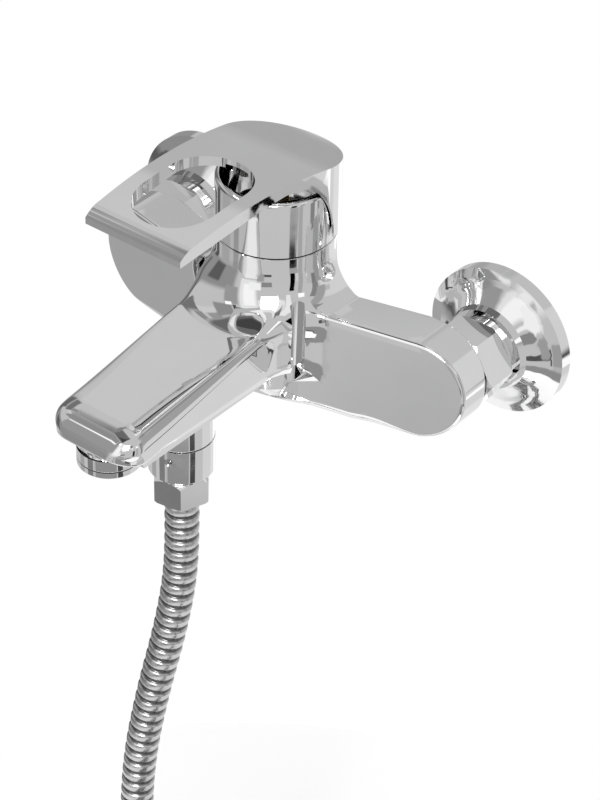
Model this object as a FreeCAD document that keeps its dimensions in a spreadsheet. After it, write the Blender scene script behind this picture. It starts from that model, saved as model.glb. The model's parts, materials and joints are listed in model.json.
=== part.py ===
# Single-lever bath mixer for a wall, with an eccentric union at each inlet, a turning
# diverter collar under the spout and a spiral metal shower hose put away in a tied coil.
# Millimetres. The origin is on the wall plane, midway between the inlets; +Y goes into
# the wall, the spout points along -Y, +X is to the right and +Z is up.
import FreeCAD, Part
import math
import os
import re

import Sketcher
from FreeCAD import Matrix, Placement, Rotation, Vector

doc = FreeCAD.newDocument("BathMixer")
sheet = doc.addObject("Spreadsheet::Sheet", "Sizes")
nodes = []

sizes = {
    # where things stand
    "inletSpacing": 150,
    "outletReach": 56,
    "aeratorSetback": 11.5,
    "seatGap": 0.2,
    "runningGap": 0.05,
    # body casting
    "towerRadius": 23.8,
    "towerBottom": -20,
    "seamHeight": 42.8,
    "seamChamfer": 0.5,
    "barTop": 20.8,
    "barEnd": 90.2,
    "barEndBottom": -19.8,
    "barBelly": -25.4,
    "barBellySide": 44,
    "barTopCorner": 20.4,
    "barBottomCorner": 19,
    "barBellyCorner": 60,
    "barFront": 17.3,
    "barSweep": 12.2,
    "barBackMiddle": 9,
    "barBackStep": 34,
    "barBackEnd": 16.5,
    "barBackKnee": 63,
    "barRounding": 1.2,
    "barBellyRounding": 5.5,
    "spoutHalfWidth": 20.7,
    "spoutFrontBulge": 2,
    "spoutRootTop": 21,
    "spoutTipTop": 8.8,
    "spoutLipReach": 108,
    "spoutTipBottom": -1.8,
    "spoutChinSetback": 11,
    "spoutChinBottom": -8,
    "spoutKeelSetback": 22,
    "spoutKeelBottom": -9.8,
    "spoutRootBottom": -11.5,
    "spoutCornerRadius": 7,
    "spoutChinRadius": 12,
    "spoutRootRounding": 3,
    "spoutTipRounding": 6.5,
    "spoutLipRounding": 4.5,
    "spoutKeelRadius": 11,
    "flareRadius": 10,
    "spoutFlareRadius": 16,
    "cornerRadius": 5,
    "bossRadius": 12.9,
    "bossBottom": -24,
    # waterways in the casting
    "cavityFloor": 12,
    "cavityRadius": 17.8,
    "nutThreadRadius": 20,
    "nutFloor": 33,
    "feedRadius": 6.5,
    "feedStart": 7,
    "feedStartBack": -2.4,
    "feedEndBack": 7.7,
    "inletPortSide": 6,
    "inletPortFront": 4.2,
    "inletPortRadius": 2.5,
    "inletPortDepth": 9,
    "outletPortBack": 2.6,
    "outletPortRadius": 2.9,
    "channelRadius": 4.6,
    "channelHeight": -3,
    "channelStart": 7,
    "rotorBoreTop": 4.5,
    "stemThreadDepth": 4,
    "stemThreadRadius": 5,
    "aeratorThreadRadius": 11,
    "aeratorThreadDepth": 8,
    # cartridge
    "cartridgeRadius": 17.5,
    "sealThickness": 0.9,
    "sealWall": 1.4,
    "baseThickness": 3.5,
    "fixedDiscThickness": 3.5,
    "discChamberRadius": 14.6,
    "movingDiscRadius": 10.2,
    "movingDiscThickness": 4,
    "mixingRadius": 4.3,
    "mixingBack": 2,
    "mixingDepth": 2,
    "driverThickness": 6.2,
    "ballRadius": 3.2,
    "ballHeight": 28.2,
    "ballPlay": 0.25,
    "housingShoulder": 36,
    "housingNeckRadius": 14,
    "housingNeckTop": 46,
    "carrierNeckRadius": 11.55,
    "carrierFlangeThickness": 4,
    "carrierTop": 48,
    "pivotHeight": 38,
    "pinRadius": 1.5,
    "pinLength": 22.4,
    "spindleWidth": 7,
    "spindleTop": 75.5,
    "spindleNeckRadius": 2.2,
    "slotFront": 7.2,
    "slotBack": 8.6,
    "nutFlangeRadius": 20.9,
    "nutFlangeThickness": 5,
    "nutNotches": 6,
    "nutNotchWidth": 4,
    "nutNotchDepth": 2.5,
    "nutNotchReach": 3,
    # trim cap
    "capRadius": 23.5,
    "capWall": 2.5,
    "capTop": 67.5,
    "capRounding": 1.8,
    # lever
    "leverRearRadius": 24.95,
    "skirtRadius": 24.05,
    "leverTipReach": 81.5,
    "leverTipHalfWidth": 22.7,
    "leverRearTop": 71.8,
    "leverCrestReach": 40,
    "leverCrestTop": 82.8,
    "leverNoseReach": 73,
    "leverNoseTop": 80.6,
    "leverTipTop": 77.3,
    "leverTipEdge": 2.6,
    "leverChinReach": 38,
    "leverChinHeight": 78.2,
    "leverRearSkin": 2.3,
    "skirtBottom": 46,
    "archTop": 73.5,
    "archTopReach": 9.4,
    "archLegBack": 4.6,
    "archShoulderReach": 12,
    "archShoulderHeight": 75.4,
    "fingerHoleReach": 48,
    "fingerHoleRadius": 17,
    "fingerHoleStraight": 17,
    "hubRadius": 6,
    "hubBottom": 70,
    "leverScrewRadius": 1.5,
    "leverScrewHeight": 72.6,
    # inlets, measured outward from the wall
    "nutBodyGap": 0.4,
    "nippleRadius": 9.5,
    "nippleDepth": 12,
    "nippleCollarRadius": 12.6,
    "nippleCollarThickness": 2.5,
    "nippleBore": 7,
    "washerThickness": 2,
    "washerHole": 8,
    "unionThreadRadius": 13.1,
    "unionFaceSetback": 10.6,
    "unionBore": 8,
    "unionNutFlats": 30,
    "unionNutWallEnd": 17.5,
    "unionNutBodyEnd": 32.6,
    "unionNutLip": 3.4,
    "unionNutHole": 10.2,
    "unionNutChamfer": 1.2,
    "tailRadius": 10.4,
    "tailLength": 14,
    "tailDrop": 6,
    "tailBore": 7,
    "tailShoulderRadius": 11.6,
    "tailShoulderGap": 0.3,
    "eccentricWebThickness": 6,
    "flangeRadius": 31,
    "flangeRim": 5.3,
    "flangeNeckRadius": 17,
    "flangeNeckFromWall": 13.4,
    "flangeSheet": 1.2,
    # aerator
    "aeratorRadius": 12.4,
    "aeratorSeat": -9.9,
    "aeratorBottom": -13,
    "aeratorWall": 1.4,
    "aeratorLip": 1.2,
    "aeratorInsertHeight": 6,
    "aeratorWasherThickness": 1.5,
    "aeratorJets": 6,
    "aeratorJetRadius": 1.6,
    "aeratorJetRing": 5.2,
    # diverter
    "stemRadius": 6,
    "stemBore": 4.2,
    "stemFlangeRadius": 11,
    "stemFlangeThickness": 1.4,
    "collarBottom": -39.7,
    "collarRadius": 13.1,
    "collarChamfer": 0.8,
    "rotorRadius": 8.95,
    "rotorWindow": 3.6,
    "bypassSweep": 210,
    "bypassDepth": 1.9,
    "grubRadius": 2,
    "grubLength": 3.4,
    "grubHeight": -29.2,
    "grubBearing": 20,
    "hexSocket": 1,
    # hose connection
    "hoseThreadRadius": 9.25,
    "hoseThreadLength": 8,
    "hoseNutFlats": 21,
    "hoseNutTop": -41.5,
    "hoseNutBottom": -53.2,
    "hoseNutLip": 1.3,
    "hoseNutHole": 7.15,
    "hoseWasherThickness": 1.7,
    "ferruleRadius": 9,
    "ferruleFlange": 1.9,
    "ferruleNeck": 7,
    "ferruleBore": 4.5,
    "ferruleEnd": -56,
    # hose
    "hoseDiameter": 14,
    "hoseBore": 9,
    "ribPitch": 5.7,
    "ribDepth": 1.1,
    "coilRadius": 77,
    "coilPitch": 14.8,
    "coilHalfTurns": 5,
    "coilEndShift": 6,
    "coilEndRun": 26,
    "tieWidth": 8,
    "tieThickness": 1.2,
    "tieGap": 0.3,
    "endNutLength": 34,
    "endNutRadius": 12.2,
    "endNutSmallRadius": 8.6,
    "endThreadRadius": 9.3,
    "endThreadDepth": 10,
}

# Places that follow from the sizes above: each is the sum of its parts.
worked_out = {
    "bodyFaceFromWall": ["unionNutBodyEnd", "nutBodyGap"],
    "unionFace": ["unionNutBodyEnd", "-unionFaceSetback"],
    "axisReach": ["unionNutBodyEnd", "nutBodyGap", "barBackEnd"],
    "spoutFront": ["spoutLipReach", "spoutFrontBulge"],
    "spoutChin": ["spoutLipReach", "-spoutChinSetback"],
    "spoutKeel": ["spoutLipReach", "-spoutKeelSetback"],
    "aeratorReach": ["spoutLipReach", "-aeratorSetback"],
    "nutFlangeTop": ["seamHeight", "seatGap", "nutFlangeThickness"],
}

# Route of the hose's free stretch: sideways, forward of the tower axis, height.
hose_route = [
    (0, -56, -56),
    (0, -56, -76),
    (-0.9, -56.9, -98),
    (-3.9, -59.9, -124),
    (-9.0, -65.0, -156),
    (-13.4, -69.4, -192),
    (-14.8, -70.8, -228),
    (-14.8, -70.8, -258),
    (-14.8, -70.8, -288),
]


def fill_sheet():
    for row, (name, number) in enumerate(sizes.items(), start=1):
        sheet.set(f"A{row}", name)
        sheet.set(f"B{row}", str(number))
        sheet.setAlias(f"B{row}", name)
    doc.recompute()


def size(name):
    if name in worked_out:
        return sum(size(part) for part in worked_out[name])
    if name.startswith("-"):
        return -size(name[1:])
    return float(sheet.get(name))


def in_sheet(name):
    """An expression's word with the sheet's aliases in it."""
    if name in worked_out:
        parts = (part.replace("-", "") for part in worked_out[name])
        signs = ("-" if part.startswith("-") else "+" for part in worked_out[name])
        return "(" + " ".join(f"{sign} {in_sheet(part)}" for sign, part in zip(signs, parts)) + ")"
    return "Sizes." + name if name in sizes else name


def bind(words):
    """Turn the sheet's aliases in an expression into references to the sheet."""
    return re.sub(
        r"[A-Za-z]+",
        lambda found: in_sheet(found[0]),
        str(words),
    )


def place(item, x=0, y=0, z=0, axis=None, angle=0):
    """Put an object at bound coordinates, turned by a plain angle about an axis."""
    if axis is not None:
        item.Placement = Placement(Vector(), Rotation(Vector(*axis), angle))
    for letter, words in zip("xyz", (x, y, z)):
        if str(words) != "0":
            item.setExpression(f"Placement.Base.{letter}", bind(words))
    return item


def new_sketch(body, role):
    sketch = body.newObject("Sketcher::SketchObject", body.Name + "_sketch")
    plane = next(item for item in body.Origin.OriginFeatures if item.Role == role)
    sketch.AttachmentSupport = (plane, [""])
    sketch.MapMode = "FlatFace"
    return sketch


def draw_outline(sketch, outline):
    """Draw a closed outline of straight lines whose corners are bound to the sheet."""
    count = len(outline)
    # the solver starts from a small ring of corners off the origin
    start = [
        Vector(20 + 9 * math.cos(2 * math.pi * k / count), 20 + 9 * math.sin(2 * math.pi * k / count), 0)
        for k in range(count)
    ]
    for k in range(count):
        sketch.addGeometry(Part.LineSegment(start[k], start[(k + 1) % count]), False)
    for k in range(count):
        sketch.addConstraint(Sketcher.Constraint("Coincident", k, 2, (k + 1) % count, 1))
    for k, corner in enumerate(outline):
        for kind, words in zip(("DistanceX", "DistanceY"), corner):
            number = sketch.addConstraint(Sketcher.Constraint(kind, -1, 1, k, 1, 1.0))
            sketch.setExpression(f"Constraints[{number}]", bind(words))


def turned(label, outline):
    """Revolve an outline of (radius, height) corners round the local Z axis."""
    body = doc.addObject("PartDesign::Body", label)
    sketch = new_sketch(body, "XZ_Plane")
    draw_outline(sketch, outline)
    turn = body.newObject("PartDesign::Revolution", label + "_turn")
    turn.Profile = sketch
    turn.ReferenceAxis = (sketch, ["V_Axis"])
    turn.Angle = 360
    body.Label = label
    return body


def padded(label, role, outline, length, both_ways=False):
    """Pad an outline drawn on one of the body's origin planes."""
    body = doc.addObject("PartDesign::Body", label)
    sketch = new_sketch(body, role)
    draw_outline(sketch, outline)
    pad = body.newObject("PartDesign::Pad", label + "_pad")
    pad.Profile = sketch
    pad.Midplane = both_ways
    pad.setExpression("Length", bind(length))
    body.Label = label
    return body


def rounded(body, radius, wanted):
    """Round the edges of a body's last feature that the test picks."""
    doc.recompute()
    base = body.Tip
    names = [f"Edge{k}" for k, edge in enumerate(base.Shape.Edges, start=1) if wanted(edge)]
    fillet = body.newObject("PartDesign::Fillet", body.Name + "_round")
    fillet.Base = (base, names)
    fillet.setExpression("Radius", bind(radius))
    doc.recompute()
    return body


def ring(label, inner, outer, low, high):
    return turned(label, [(inner, low), (outer, low), (outer, high), (inner, high)])


def cylinder(label, radius, height):
    item = doc.addObject("Part::Cylinder", label)
    item.setExpression("Radius", bind(radius))
    item.setExpression("Height", bind(height))
    return item


def block(label, length, width, height):
    item = doc.addObject("Part::Box", label)
    item.setExpression("Length", bind(length))
    item.setExpression("Width", bind(width))
    item.setExpression("Height", bind(height))
    return item


def hexagon(label, flats, height):
    item = doc.addObject("Part::Prism", label)
    item.Polygon = 6
    item.setExpression("Circumradius", bind(f"{flats} / 2 / cos(30 deg)"))
    item.setExpression("Height", bind(height))
    return item


def joined(label, pieces):
    item = doc.addObject("Part::MultiFuse", label)
    item.Shapes = pieces
    item.Refine = True
    return item


def shared(label, pieces):
    item = doc.addObject("Part::MultiCommon", label)
    item.Shapes = pieces
    return item


def cut(label, base, tools):
    item = doc.addObject("Part::Cut", label)
    item.Base = base
    item.Tool = tools[0] if len(tools) == 1 else joined(label + "_tools", tools)
    return item


def several(label, pieces):
    item = doc.addObject("Part::Compound", label)
    item.Links = pieces
    return item


def node(item, label=None):
    """Keep an object as a sub-part under its own name."""
    if label is not None:
        item.Label = label
    nodes.append(item)
    return item


def on_axis(item, z=0):
    """Stand a piece on the tower's axis."""
    return place(item, y="-axisReach", z=z)


def at_outlet(item, z=0):
    """Stand a piece on the shower outlet's axis."""
    return place(item, y="-axisReach - outletReach", z=z)


def at_inlet(item, side, out=0, up=0):
    """Lay a piece on an inlet's axis, its local Z pointing away from the wall."""
    out_words = 0 if str(out) == "0" else f"-({out})"
    return place(item, x=f"{side} * inletSpacing / 2", y=out_words, z=up, axis=(1, 0, 0), angle=90)


# body casting

def make_bar():
    """The crossbar with both arms: a rounded slab, swept back towards the wall."""
    outline = padded(
        "bar_outline",
        "XZ_Plane",
        [
            ("-barEnd", "barTop"),
            ("barEnd", "barTop"),
            ("barEnd", "barEndBottom"),
            ("barBellySide", "barBelly"),
            ("-barBellySide", "barBelly"),
            ("-barEnd", "barEndBottom"),
        ],
        "4 * barFront",
        both_ways=True,
    )
    end = size("barEnd")
    for corner, side, height in (
        ("barTopCorner", end, size("barTop")),
        ("barBottomCorner", end, size("barEndBottom")),
        ("barBellyCorner", size("barBellySide"), size("barBelly")),
    ):
        rounded(outline, corner, lambda edge: runs_along_y(edge, side, height))
    plan = padded("bar_plan", "XY_Plane", bar_plan_corners("barEnd + 1"), "6 * barTop")
    place(plan, z="-3 * barTop")
    slab = shared("bar_slab", [outline, plan])
    return on_axis(rounded_by_place(slab, "bar", on_bar_front, bar_rounding_at))


def runs_along_y(edge, side, height):
    """Whether an edge runs along Y at a distance to either side and at a height."""
    box = edge.BoundBox
    return (
        box.XLength < 0.01
        and box.ZLength < 0.01
        and abs(abs(box.XMin) - side) < 0.01
        and abs(box.ZMin - height) < 0.01
    )


def bar_plan_corners(reach):
    """The crossbar seen from above, with swept front faces and a stepped back."""
    front = "-(barFront - {0} * tan(barSweep * 1 deg))"
    return [
        ("0", front.format("0")),
        (reach, front.format(f"({reach})")),
        (reach, "barBackEnd"),
        ("barBackKnee", "barBackEnd"),
        ("barBackStep", "barBackMiddle"),
        ("-barBackStep", "barBackMiddle"),
        ("-barBackKnee", "barBackEnd"),
        (f"-({reach})", "barBackEnd"),
        (f"-({reach})", front.format(f"({reach})")),
    ]


def on_bar_front(point):
    sweep = math.tan(math.radians(size("barSweep")))
    return abs(point.y + size("barFront") - abs(point.x) * sweep) < 0.01


def bar_rounding_at(point):
    """The front edge is crisp on top and at the ends and well rounded under the arms."""
    crisp = size("barRounding")
    full = size("barBellyRounding")
    if point.z > size("barTop") / -8:
        return crisp
    inner = size("barBellySide") + 4
    outer = size("barEnd") - 2
    share = min(1, max(0, (abs(point.x) - inner) / (outer - inner)))
    return full - share * (full - crisp)


def rounded_by_place(base, label, on_edge, radius_at):
    """Round the edges whose points pass a test, with a radius that follows the place."""
    doc.recompute()
    item = doc.addObject("Part::Fillet", label)
    item.Base = base
    picked = []
    for number, edge in enumerate(base.Shape.Edges, start=1):
        first, last = edge.FirstParameter, edge.LastParameter
        points = [edge.valueAt(first + share * (last - first)) for share in (0, 0.25, 0.5, 0.75, 1)]
        if all(on_edge(point) for point in points) and points[0].distanceToPoint(points[-1]) > 0.3:
            picked.append((number, radius_at(points[0]), radius_at(points[-1])))
    item.Edges = picked
    return item


def make_spout():
    """The spout: a wide flat block with a round keel, rounded corners and a blunt front."""
    side = padded(
        "spout_side",
        "YZ_Plane",
        [
            ("0", "spoutRootBottom"),
            ("0", "spoutRootTop"),
            ("-spoutLipReach", "spoutTipTop"),
            ("-spoutFront", "spoutTipBottom"),
            ("-spoutChin", "spoutChinBottom"),
            ("-spoutKeel", "spoutKeelBottom"),
        ],
        "2 * spoutHalfWidth",
        both_ways=True,
    )
    nose = rounded_by_place(side, "spout_nose", on_spout_corner, spout_corner_at)
    section = padded(
        "spout_section",
        "XZ_Plane",
        [
            ("-spoutHalfWidth", "spoutRootBottom"),
            ("-spoutHalfWidth", "2 * spoutRootTop"),
            ("spoutHalfWidth", "2 * spoutRootTop"),
            ("spoutHalfWidth", "spoutRootBottom"),
        ],
        "3 * spoutFront",
        both_ways=True,
    )
    half = size("spoutHalfWidth")
    root = size("spoutRootBottom")
    rounded(section, "spoutKeelRadius", lambda edge: runs_along_y(edge, half, root))
    whole = shared("spout_block", [nose, section])
    return on_axis(rounded_by_place(whole, "spout", on_spout_top_edge, spout_rounding_at))


def on_spout_corner(point):
    """Whether a point lies on an upright front corner of the spout, blunt side out."""
    rise = (point.z - size("spoutTipBottom")) / (size("spoutTipTop") - size("spoutTipBottom"))
    reach = size("spoutFront") - rise * (size("spoutFront") - size("spoutLipReach"))
    in_corner = abs(abs(point.x) - size("spoutHalfWidth")) < 0.01 and abs(point.y + reach) < 0.01
    return in_corner and -0.01 < rise < 1.01


def spout_corner_at(point):
    if point.z > 0:
        return size("spoutCornerRadius")
    return size("spoutChinRadius")


def spout_top_at(reach):
    """Height of the spout's top plane at a distance in front of the tower's axis."""
    fall = (size("spoutRootTop") - size("spoutTipTop")) / size("spoutLipReach")
    return size("spoutRootTop") - fall * reach


def on_spout_top_edge(point):
    half = size("spoutHalfWidth")
    front = size("spoutLipReach") - size("spoutCornerRadius") - 0.5
    on_top = abs(point.z - spout_top_at(-point.y)) < 0.02
    return on_top and (abs(abs(point.x) - half) < 0.02 or -point.y > front)


def spout_rounding_at(point):
    """The top edge is crisp at the tower and fuller towards the front corners."""
    root = size("spoutRootRounding")
    tip = size("spoutTipRounding")
    front = size("spoutLipReach") - size("spoutCornerRadius") - 0.5
    if -point.y > front and abs(point.x) < size("spoutHalfWidth") - 1:
        return size("spoutLipRounding")
    return root + (tip - root) * min(1, -point.y / front)


def make_flare():
    """The hollow curve by which the tower runs out into the arms and the spout."""
    fall = (size("spoutRootTop") - size("spoutTipTop")) / size("spoutLipReach")
    pieces = []
    for name, slope, top, curve, inner in (
        ("arms", 0, "barTop", "flareRadius", "towerRadius"),
        ("spout", 1, "spoutRootTop", "spoutFlareRadius", "towerRadius - spoutFlareRadius / 8"),
    ):
        body = turned(
            "flare_ring_" + name,
            [
                ("0", "-flareRadius"),
                (f"{inner} + {curve} + seatGap", "-flareRadius"),
                (f"{inner} + {curve} + seatGap", "0"),
                (inner, "0"),
                (inner, f"{curve} + seatGap"),
                ("0", f"{curve} + seatGap"),
            ],
        )
        rim = size("towerRadius") - slope * size("spoutFlareRadius") / 8
        rounded(
            body,
            curve,
            lambda edge: edge.BoundBox.ZLength < 0.01
            and abs(edge.BoundBox.ZMin) < 0.01
            and abs(edge.Curve.Radius - rim) < 0.01,
        )
        place(body, y="-axisReach", z=top, axis=(1, 0, 0), angle=slope * math.degrees(math.atan(fall)))
        pieces.append(body)
    reach = "(towerRadius + spoutFlareRadius + 1)"
    footprint = padded(
        "footprint",
        "XY_Plane",
        [
            ("-spoutHalfWidth", "-" + reach),
            ("spoutHalfWidth", "-" + reach),
            ("spoutHalfWidth", "-(barFront - spoutHalfWidth * tan(barSweep * 1 deg))"),
            (reach, f"-(barFront - {reach} * tan(barSweep * 1 deg))"),
            (reach, "barBackMiddle"),
            ("-" + reach, "barBackMiddle"),
            ("-" + reach, f"-(barFront - {reach} * tan(barSweep * 1 deg))"),
            ("-spoutHalfWidth", "-(barFront - spoutHalfWidth * tan(barSweep * 1 deg))"),
        ],
        "4 * barTop",
    )
    half = size("spoutHalfWidth")
    inside = size("barFront") - half * math.tan(math.radians(size("barSweep")))
    rounded(
        footprint,
        "cornerRadius",
        lambda edge: edge.BoundBox.ZLength > size("barTop")
        and abs(abs(edge.BoundBox.XMin) - half) < 0.01
        and abs(edge.BoundBox.YMin + inside) < 0.01,
    )
    on_axis(footprint, z="spoutRootBottom")
    wide = "2 * spoutHalfWidth + 3 * cornerRadius"
    filler = block("corner_filler", wide, "3 * cornerRadius", "barTop + cornerRadius / 2")
    place(
        filler,
        x="-spoutHalfWidth - 1.5 * cornerRadius",
        y="-axisReach - barFront - cornerRadius",
        z="-cornerRadius",
    )
    behind = block("flare_behind", "4 * towerRadius", "2 * towerRadius", "4 * barTop")
    place(behind, x="-2 * towerRadius", y="-axisReach - barFront - cornerRadius", z="0")
    arms = shared("flare_arms", [pieces[0], footprint, behind])
    front = block("flare_front", "2 * spoutHalfWidth", reach, "4 * barTop")
    place(front, x="-spoutHalfWidth", y=f"-axisReach - {reach}", z="0")
    toward = shared("flare_spout", [pieces[1], front])
    corners = shared("corners", [filler, footprint])
    return [arms, toward, corners]


def make_tower():
    tower = turned(
        "tower",
        [
            ("0", "towerBottom"),
            ("towerRadius - 6", "towerBottom"),
            ("towerRadius - 2", "towerBottom + 2"),
            ("towerRadius", "towerBottom + 6"),
            ("towerRadius", "seamHeight - seamChamfer"),
            ("towerRadius - seamChamfer", "seamHeight"),
            ("0", "seamHeight"),
        ],
    )
    return on_axis(tower)


def make_cavity():
    """The room for the cartridge and its nut, open at the top of the tower."""
    cavity = turned(
        "cavity",
        [
            ("0", "cavityFloor"),
            ("cavityRadius", "cavityFloor"),
            ("cavityRadius", "nutFloor"),
            ("nutThreadRadius", "nutFloor"),
            ("nutThreadRadius", "seamHeight + 1"),
            ("0", "seamHeight + 1"),
        ],
    )
    return on_axis(cavity)


def make_feed(side):
    """The cored way from one inlet to the floor of the cartridge's room."""
    run = size("inletSpacing") / 2 - size("feedStart")
    drift = size("feedEndBack") - size("feedStartBack")
    name = "right" if side > 0 else "left"
    way = cylinder(
        "feed_" + name,
        "feedRadius",
        "sqrt((inletSpacing / 2 - feedStart)^2 + (feedEndBack - feedStartBack)^2)",
    )
    way.Placement = Placement(Vector(), Rotation(Vector(0, 0, 1), Vector(side * run, drift, 0)))
    place(way, x=f"{side} * feedStart", y="feedStartBack - axisReach")
    port = cylinder("port_" + name, "inletPortRadius", "inletPortDepth + 1")
    place(
        port,
        x=f"{side} * inletPortSide",
        y="-axisReach - inletPortFront",
        z="cavityFloor - inletPortDepth",
    )
    mouth = cylinder("mouth_" + name, "feedRadius", "barBackEnd - feedEndBack + 1")
    at_inlet(mouth, side, out="bodyFaceFromWall - 1")
    thread = cylinder("socket_" + name, "nippleRadius", "nippleDepth + 1")
    at_inlet(thread, side, out="bodyFaceFromWall - 1")
    return [way, port, mouth, thread]


def make_body():
    boss = at_outlet(cylinder("boss", "bossRadius", "-bossBottom"), z="bossBottom")
    seat = cylinder("aerator_seat", "aeratorRadius", "-aeratorSeat / 2")
    place(seat, y="-axisReach - aeratorReach", z="aeratorSeat")
    solid = joined("casting", [make_bar(), make_spout(), make_tower(), boss, seat] + make_flare())
    tools = [make_cavity()] + make_feed(-1) + make_feed(1)
    drain = cylinder("drain", "outletPortRadius", "cavityFloor - channelHeight + 1")
    place(drain, y="outletPortBack - axisReach", z="channelHeight")
    channel = cylinder("channel", "channelRadius", "aeratorReach + channelStart")
    place(
        channel,
        y="channelStart - axisReach",
        z="channelHeight",
        axis=(1, 0, 0),
        angle=90,
    )
    rotor_bore = cylinder("rotor_bore", "rotorRadius + runningGap", "rotorBoreTop - bossBottom + 1")
    at_outlet(rotor_bore, z="bossBottom - 1")
    stem_hole = cylinder("stem_hole", "stemThreadRadius", "stemThreadDepth + 1")
    at_outlet(stem_hole, z="rotorBoreTop - 1")
    aerator_hole = cylinder("aerator_hole", "aeratorThreadRadius", "aeratorThreadDepth + 9")
    place(aerator_hole, y="-axisReach - aeratorReach", z="(aeratorSeat - seatGap) - 9")
    tools += [drain, channel, rotor_bore, stem_hole, aerator_hole]
    return node(cut("mixer_body", solid, tools))


# cartridge

def port_places():
    """Where the cartridge's ports stand and how wide they are: two inlets, one outlet."""
    return [
        ("-inletPortSide", "-axisReach - inletPortFront", "inletPortRadius"),
        ("inletPortSide", "-axisReach - inletPortFront", "inletPortRadius"),
        ("0", "outletPortBack - axisReach", "outletPortRadius"),
    ]


def make_ports(name, low, height):
    ports = []
    for number, (x, y, radius) in enumerate(port_places(), start=1):
        ports.append(place(cylinder(f"{name}_port{number}", radius, height), x=x, y=y, z=low))
    return ports


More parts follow.
